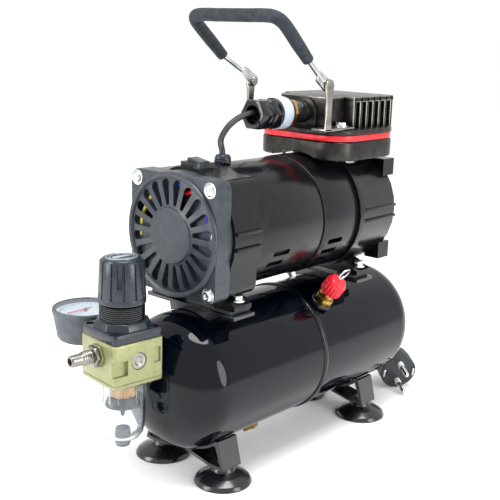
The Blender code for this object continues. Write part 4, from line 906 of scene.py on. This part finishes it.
# The rims take the second material: rubbed paint and a painted highlight.
together(head, block((24.0, -26.0, 255.0), (97.0, 26.0, 281.0), 1.4, rim_paint=1))
for sign in (-1, 1):
    inner, outer = sorted((sign * 24.0, sign * 36.0))
    for i in range(FINS):
        x = 41.0 + 8.6 * i
        together(head, block((x, inner, 255.0), (x + 3.4, outer, 280.8), 0.7, rim_paint=1))
    together(head, block((41.0, inner, 276.6), (97.0 - 0.4, outer, 281.0), 0.9, rim_paint=1))
arch = slab([(-13.0, 256.5), (13.0, 256.5), (13.0, 267.0), *arc(13.0, 0, 180, 16, (0.0, 267.0))[1:]],
            3.4, along_x(21.0, 0, 0), 0.0, 0.6)
port_boss = lathe([(0.0, 16.0), (9.0, 16.0), (9.0, 25.0), (0.0, 25.0)], moved(0, 0, PORT_HEIGHT, "X"),
                  48, False, 0.6)
together(head, arch, port_boss)
piece("finned_head", head, [GUNMETAL, RUBBED_EDGE_AND_HIGHLIGHT], stands_for=["cylinder_head"])
seal = slab(rectangle(42.0, 45.0, (PUMP_X, 0.0)), 4.4, Matrix.Translation((0, 0, 247.3)),
            HEAD_CORNER, 0.4)
piece("head_seal", seal, [SEAL_SILICONE], stands_for=["head_gasket"])
print(2 * FINS, "fins on the head")

# %% [markdown]
# ## Pressure switch
# The switch screws into the head's port. Along its axis it is an open nut that holds the cable,
# a hexagonal body, a pale band that carries the setting, and a narrow brass hexagon.

# %% Pressure switch
SWITCH = moved(0, 0, PORT_HEIGHT, "X")
GLAND_X = -70.2
nut = combined(prism(6, 12.4, -39.0, -29.0, SWITCH, 0.6),
               lathe([(0.0, -45.0), (7.2, -45.0), (7.2, -27.0), (0.0, -27.0)], SWITCH, 48))
switch = together(
    painted(nut, 0), lathe([(0.0, -30.0), (11.0, -30.0), (11.0, -25.5), (0.0, -25.5)], SWITCH, 64,
                           False, 0.5),
    prism(6, 12.6, -25.5, -17.5, SWITCH, 0.6),
    lathe([(0.0, -17.5), (12.0, -17.5), (12.0, -15.0), (0.0, -15.0)], SWITCH, 64, False, 0.4),
    lathe([(0.0, -15.0), (12.6, -15.0), (12.6, -4.0), (0.0, -4.0)], SWITCH, 96, False, 0.6, 1),
    lathe([(0.0, -4.0), (11.6, -4.0), (11.6, -0.5), (0.0, -0.5)], SWITCH, 64, False, 0.5),
    prism(6, 11.4, -0.5, 5.0, SWITCH, 0.5, 2),
    lathe([(0.0, 5.0), (8.5, 5.0), (8.5, 15.5), (3.8, 15.5), (3.8, 20.0), (0.0, 20.0)], SWITCH,
          48, False, 0.5, 3))
piece("pressure_switch_body", switch, [GLOSS_ABS, BAND_NYLON, BRASS, BRACKET_PAINT],
      stands_for=["pressure_switch"])
gland = together(prism(6, 6.6, 234.3, 237.0, moved(GLAND_X, 0, 0), 0.4),
                 lathe([(2.5, 237.0), (6.2, 237.0), (6.0, 238.6), (4.8, 240.6), (2.5, 240.6)],
                       moved(GLAND_X, 0, 0), 32, True, 0.3))
piece("switch_gland", gland, [BLACK_ABS], stands_for=["cable_gland"])
softened("rocker_bezel", GLOSS_ABS, edge=0.6)
softened("power_rocker", BLACK_ABS, "rocker", 0.7)
print("the switch lies", PORT_HEIGHT, "mm up")

# %% [markdown]
# ## Carrying handle
# A bent wire with a foam sleeve folds on two riveted strips. The wire and its sleeve follow one
# route: tubes through the same bends, one thin and bright, one thick and soft.

# %% Carrying handle
PIVOT = Vector((2.5, 36.6, 291.0))
GRIP_END = Vector((-28.0, 42.6, 310.0))
GRIP_CORNER = Vector((-63.0, 43.6, 340.0))
corner_in = GRIP_CORNER.lerp(GRIP_END, 0.26)
corner_out = GRIP_CORNER + Vector((0, -11.0, 0))
bend = [corner_in.lerp(GRIP_CORNER, i / 4).lerp(GRIP_CORNER.lerp(corner_out, i / 4), i / 4)
        for i in (1, 2, 3)]
GRIP_ROUTE = [GRIP_END, GRIP_END.lerp(corner_in, 0.5), corner_in, *bend, corner_out,
              Vector((-63.0, 15.0, 340.0)), Vector((-63.0, 0.0, 340.0))]


def both_sides(half):
    return half + [Vector((p.x, -p.y, p.z)) for p in reversed(half[:-1])]


leg = [PIVOT.lerp(GRIP_END, 0.2), PIVOT.lerp(GRIP_END, 0.5), PIVOT.lerp(GRIP_END, 0.8)]
wire = tube(both_sides(leg + GRIP_ROUTE), 1.9, 5)
lean = math.atan2(GRIP_END.z - PIVOT.z, GRIP_END.x - PIVOT.x)
for sign in (-1, 1):
    stand = Matrix.Translation((PIVOT.x, sign * 37.6 + 1.1, PIVOT.z))
    stand = stand @ Matrix.Rotation(math.pi / 2, 4, "X") @ Matrix.Rotation(lean, 4, "Z")
    lug = slab([*arc(5.0, 80, 280, 16), (14.0, -4.0), (14.0, 4.0)], 2.2, stand, 0.0, 0.3)
    together(wire, lug)
piece("bail_wire", wire, [NICKEL], "handle", ["handle_wire"])
foam = both_sides(GRIP_ROUTE)
radii = [4.3] + [4.8] * (len(foam) - 2) + [4.3]
piece("bail_grip", tube(foam, radii, 6), [FOAM], "handle", ["handle_grip"])
STAND_UP = Matrix(((1, 0, 0, 0), (0, 0, 1, 0), (0, 1, 0, 0), (0, 0, 0, 1)))
for side, sign in (("near", -1), ("far", 1)):
    upright = slab([*arc(4.8, 0, 180, 16), (-3.4, -11.0), (-3.0, -24.0), (-4.0, -34.4),
                    (4.0, -34.4), (3.0, -24.0), (3.4, -11.0)], 2.0,
                   moved(2.5, sign * 40.0 - 1.0, 291.0) @ STAND_UP, 0.0, 0.4)
    strip = block((-1.5, min(sign * 41.0, sign * 27.5), 256.4), (36.5, max(sign * 41.0, sign * 27.5),
                                                            258.4), 0.5)
    rivet_place = moved(2.5, sign * 38.6, 291.0, "Y")
    if sign < 0:
        rivet_place = rivet_place @ Matrix.Rotation(math.pi, 4, "X")
    rivet = lathe([(0.0, -4.2), (2.4, -4.2), (2.8, -3.6), (2.8, 1.6), (2.0, 2.0), (0.0, 2.0)],
                  rivet_place, 32)
    piece(f"handle_strip_{side}", together(upright, strip, rivet), [STRIP_STEEL],
          stands_for=[f"handle_bracket_{side}"])
    bolt = together(prism(6, 4.4, 0.0, 3.0, moved(30.5, sign * 32.0, 258.5), 0.4),
                    lathe([(0.0, 0.0), (5.2, 0.0), (5.2, 0.7), (0.0, 0.7)],
                          moved(30.5, sign * 32.0, 258.4), 32))
    piece(f"bracket_bolt_{side}", bolt, [SCREW_STEEL])
print("the grip follows", len(foam), "points")

# %% [markdown]
# ## Filter regulator
# The zinc body is a square block with turned bosses. Above it a black bonnet carries a threaded
# neck and the adjusting knob; below it hangs the clear bowl. Everything is set out round the
# regulator's own axis, which is turned a little from the machine's.

# %% Regulator body
REGULATOR_X = -166.5
REGULATOR_TURN = math.radians(-5.5)
REGULATOR = Matrix.Translation((REGULATOR_X, 0, 0)) @ Matrix.Rotation(REGULATOR_TURN, 4, "Z")


def on_regulator(x, y, z, axis="Z"):
    return REGULATOR @ moved(x, y, z, axis)


TURN_TO["-Y"] = Matrix.Rotation(math.pi / 2, 4, "X")
body = block((-20, -20, 92.3), (20, 20, 124.0), 1.2, REGULATOR)
socket = lathe([(0.0, 85.0), (14.4, 85.0), (14.4, 108.3), (0.0, 108.3)], REGULATOR, 64)
pocket = lathe([(0.0, -1.6), (6.2, -1.6), (6.2, 3.0), (0.0, 3.0)],
               on_regulator(0, -20, 110, "-Y"), 48)
notch = block((12.5, -23.0, 106.0), (18.0, -18.0, 117.0), 0.4, REGULATOR)
corner_pocket = block((-23.0, -23.0, 101.5), (-9.0, -16.5, 112.5), 0.5, REGULATOR)
outlet = lathe([(0.0, -3.0), (5.0, -3.0), (5.0, 3.0), (0.0, 3.0)],
               on_regulator(-20, 0, 113, "-X"), 32)
body = combined(body, socket, pocket, notch, corner_pocket, outlet)
groove = block((-21, -21, 95.2), (21, 21, 95.8), 0.0, REGULATOR)
core = block((-19.5, -19.5, 94.0), (19.5, 19.5, 97.0), 0.0, REGULATOR)
body = combined(body, combined(groove, core))
plug_disc = lathe([(0.0, -1.6), (5.8, -1.6), (5.8, -0.4), (3.2, -0.4), (2.6, -1.4), (0.0, -1.4)],
                  on_regulator(0, -20, 110, "-Y"), 48, False, 0.3, 1)
hexagon = prism(6, 8.6, 0.0, 1.6, on_regulator(-20, 0, 113, "-X"), 0.4)
piece("regulator_casting", together(painted(body, 0), plug_disc, hexagon),
      [OLIVE, STRIP_STEEL], stands_for=["regulator_body"], edge=0.35)
print("the regulator stands", -REGULATOR_X, "mm from the tank's middle")

# %% [markdown]
# ### Bonnet and knob
# The bonnet's neck is a real thread, which at this size reads as a stack of bright and dark
# rings, so the profile is a row of small teeth. The knob's flats come from a twelve-sided
# outline with shallow grooves, pushed up and drawn in at the top.

# %% Bonnet and knob
CORNER_SCREW = 15.6
KNOB_BASE = 151.5
KNOB_TALL = 25.6
bonnet = slab(rectangle(20.2, 20.2), 6.7, on_regulator(0, 0, 124.3), 3.5, 0.8)
pockets = [lathe([(0.0, 129.6), (3.2, 129.6), (3.2, 135.0), (0.0, 135.0)],
                 on_regulator(x, y, 0), 32)
           for x in (-CORNER_SCREW, CORNER_SCREW) for y in (-CORNER_SCREW, CORNER_SCREW)]
bonnet = painted(combined(bonnet, *pockets), 0)
collar = prism(8, 20.4, 130.8, 136.0, REGULATOR @ Matrix.Rotation(math.radians(22.5), 4, "Z"),
               0.7, 0, 18.2)
teeth = []
for i in range(7):
    base = 136.0 + i * 1.4
    teeth += [(15.0, base), (15.8, base + 0.35), (15.8, base + 0.8), (15.0, base + 1.15)]
neck = lathe([(10.2, 131.0), (15.0, 131.0), *teeth, (15.0, 146.0), (10.2, 146.0)], REGULATOR, 96,
             True, paint=2)
together(bonnet, collar, neck)
for x in (-CORNER_SCREW, CORNER_SCREW):
    for y in (-CORNER_SCREW, CORNER_SCREW):
        head = lathe([(0.0, 129.6), (2.7, 129.6), (2.7, 130.6), (1.8, 131.4), (0.0, 131.4)],
                     on_regulator(x, y, 0), 32, False, 0.2)
        cross = together(block((-1.7, -0.35, 130.7), (1.7, 0.35, 132.0), 0.0, on_regulator(x, y, 0)),
                         block((-0.35, -1.7, 130.7), (0.35, 1.7, 132.0), 0.0,
                               on_regulator(x, y, 0)))
        together(bonnet, painted(combined(head, cross), 1))
piece("regulator_bonnet_cap", bonnet, [BLACK_ABS, SCREW_STEEL, GLOSS_ABS],
      stands_for=["regulator_bonnet"])

knob_outline = []
for i in range(12):
    start = 30 * i
    knob_outline += arc(16.6, start + 3, start + 27, 5)
    knob_outline += arc(15.6, start + 28.6, start + 31.4, 1)
knob = slab(knob_outline, KNOB_TALL, on_regulator(0, 0, KNOB_BASE), rim=0.5)
regulator_inverse = REGULATOR.inverted()
for vert in knob.verts:
    local = regulator_inverse @ vert.co
    share = (local.z - KNOB_BASE) / KNOB_TALL
    scale = 1.0 - 0.09 * share
    vert.co = REGULATOR @ Vector((local.x * scale, local.y * scale, local.z))
ledge = lathe([(13.0, 147.5), (16.6, 147.5), (16.6, 151.8), (13.0, 151.8)], REGULATOR, 96, True,
              0.5)
crown = lathe([(0.0, 176.8), (14.4, 176.8), (13.4, 178.4), (12.4, 178.8), (0.0, 178.8)],
              REGULATOR, 96, False, 0.5)
slot = block((-17.5, -1.6, 160.0), (-13.2, 1.6, 176.0), 0.5,
             REGULATOR @ Matrix.Rotation(math.radians(50), 4, "Z"))
knob = together(painted(combined(knob, slot), 0), ledge, crown)
for radius in (11.6, 9.4):
    oval = lathe([(radius - 0.7, 178.7), (radius - 0.7, 179.4), (radius, 179.4), (radius, 178.7)],
                 REGULATOR @ Matrix.Diagonal((1.0, 0.78, 1.0, 1.0)), 96, True, 0.15, 1)
    together(knob, oval)
together(knob, block((-7.4, -1.6, 178.7), (7.4, 1.6, 179.5), 0.35, REGULATOR, 1))
piece("pressure_knob", knob, [BLACK_ABS, BADGE_ABS], "knob", ["regulator_knob"])
print(len(knob_outline), "points round the knob")

# %% [markdown]
# ## Gauge
# The gauge is a tapered cup that faces up, with a card dial, a pointer on its own body, and a
# thin window. The dial carries plain division marks and nothing else.

# %% Gauge
GAUGE = REGULATOR @ Matrix.Translation((0, 46.5, 0))
MARKS = 31
case = lathe([(0.0, 127.6), (22.0, 127.6), (22.0, 132.4), (23.4, 132.4), (24.0, 131.5),
              (24.0, 129.5), (23.2, 127.0), (20.5, 111.0), (19.0, 109.0), (0.0, 109.0)], GAUGE,
             128, False, 0.4)
dial = lathe([(0.0, 127.7), (0.0, 128.3), (21.6, 128.3), (21.6, 127.7)], GAUGE, 96, paint=1)
together(case, dial)
for i in range(MARKS):
    turn = GAUGE @ Matrix.Rotation(math.radians(-45 + 9 * i), 4, "Z")
    long_mark = i % 5 == 0
    together(case, block((15.4 if long_mark else 17.4, -0.3, 128.2), (19.6, 0.3, 128.42), 0.0,
                         turn, 2))
stem = together(
    lathe([(0.0, 15.0), (4.6, 15.0), (4.6, 36.0), (0.0, 36.0)],
          on_regulator(0, 0, 114.5, "Y"), 32, paint=3),
    prism(6, 7.6, 20.4, 27.5, on_regulator(0, 0, 114.5, "Y"), 0.5, 3))
together(case, stem)
piece("pressure_gauge", case, [GAUGE_ABS, DIAL_CARD, DIAL_INK, BRASS], stands_for=["gauge_case"])
softened("gauge_needle", NEEDLE_RED, "needle", 0.15)
window = lathe([(0.0, 130.9), (21.7, 130.9), (21.7, 132.1), (0.0, 132.1)], GAUGE, 96)
piece("gauge_window", window, [LENS_CLEAR], stands_for=["gauge_lens"])
print(MARKS, "marks on the dial")

# %% [markdown]
# ## Bowl, filter and fittings
# The bowl is a thin clear shell spun from its full section, so that both its walls bend the
# light. Vertical ribs stiffen its top. Inside stands the pleated filter above a flared baffle.

# %% Bowl, filter and fittings
section = [(14.1, 99.8), (14.1, 92.0), (16.0, 92.0), (16.0, 62.0), (15.6, 57.0), (14.4, 52.4),
           (12.0, 49.2), (9.0, 47.2), (6.0, 46.6), (2.8, 46.6), (2.8, 48.4), (5.8, 48.4),
           (8.4, 49.0), (11.0, 50.8), (13.0, 53.8), (14.0, 58.0), (14.2, 62.0), (14.2, 89.3),
           (12.3, 91.3), (12.3, 99.8)]
bowl = lathe(section, REGULATOR, 96, True)
for i in range(16):
    turn = REGULATOR @ Matrix.Rotation(math.tau * i / 16, 4, "Z")
    together(bowl, block((15.7, -0.6, 78.0), (16.5, 0.6, 91.6), 0.25, turn))
piece("clear_bowl", bowl, [BOWL_CLEAR], stands_for=["filter_bowl"])
pleats = [((9.2 if i % 2 else 8.0) * math.cos(math.tau * i / 48),
           (9.2 if i % 2 else 8.0) * math.sin(math.tau * i / 48)) for i in range(48)]
piece("filter_pleats", slab(pleats, 19.2, on_regulator(0, 0, 79.8)), [SINTERED],
      stands_for=["filter_element"])
baffle = lathe([(0.0, 79.5), (9.8, 79.5), (12.4, 74.5), (12.4, 72.5), (3.0, 73.5), (1.2, 64.0),
                (0.0, 64.0)], REGULATOR, 64, False, 0.4)
piece("flared_baffle", baffle, [BAFFLE_GREY], stands_for=["filter_baffle"])
drain = lathe([(0.0, 55.0), (5.0, 55.0), (6.0, 49.0), (2.4, 48.8), (2.4, 46.3), (5.8, 46.0),
               (5.8, 43.6), (4.2, 43.2), (4.2, 42.4), (5.0, 41.6), (0.0, 41.6)], REGULATOR, 48,
              False, 0.3)
piece("bowl_drain", drain, [DRAIN_ACETAL], "bowl_drain", ["bowl_drain_knob"])

nipple = together(
    lathe([(0.0, 17.0), (4.6, 17.0), (4.6, 20.5), (0.0, 20.5)],
          on_regulator(0, 0, 113, "-X"), 32),
    prism(6, 8.0, 20.4, 25.0, on_regulator(0, 0, 113, "-X"), 0.5),
    lathe([(0.0, 25.0), (4.7, 25.0), (4.7, 33.0), (4.2, 33.6), (4.2, 41.0), (3.6, 42.0),
           (2.6, 42.0), (2.6, 36.0), (0.0, 36.0)], on_regulator(0, 0, 113, "-X"), 48, False, 0.3))
for i in range(4):
    thread = lathe([(4.6, 26.2 + 1.6 * i), (5.2, 26.7 + 1.6 * i), (4.6, 27.2 + 1.6 * i)],
                   on_regulator(0, 0, 113, "-X"), 48, True)
    together(nipple, thread)
piece("hose_nipple", nipple, [STRIP_STEEL], stands_for=["outlet_nipple"])

pipe_route = [(71.0, 46.3, 240.0), (71.0, 53.0, 239.7), (71.5, 59.5, 231.0), (72.0, 60.0, 200.0),
              (72.5, 60.0, 160.0), (73.0, 56.0, 130.0), (73.0, 49.0, 113.0), (73.0, 43.5, 104.6)]
pipe = together(tube(pipe_route, 3.0, 4),
                prism(6, 5.6, 46.0, 50.5, moved(71.0, 0, 240.0, "Y"), 0.5, 1))
piece("air_pipe", pipe, [PIPE_METAL, BRASS], stands_for=["delivery_tube"])
print("the bowl's section has", len(section), "points")
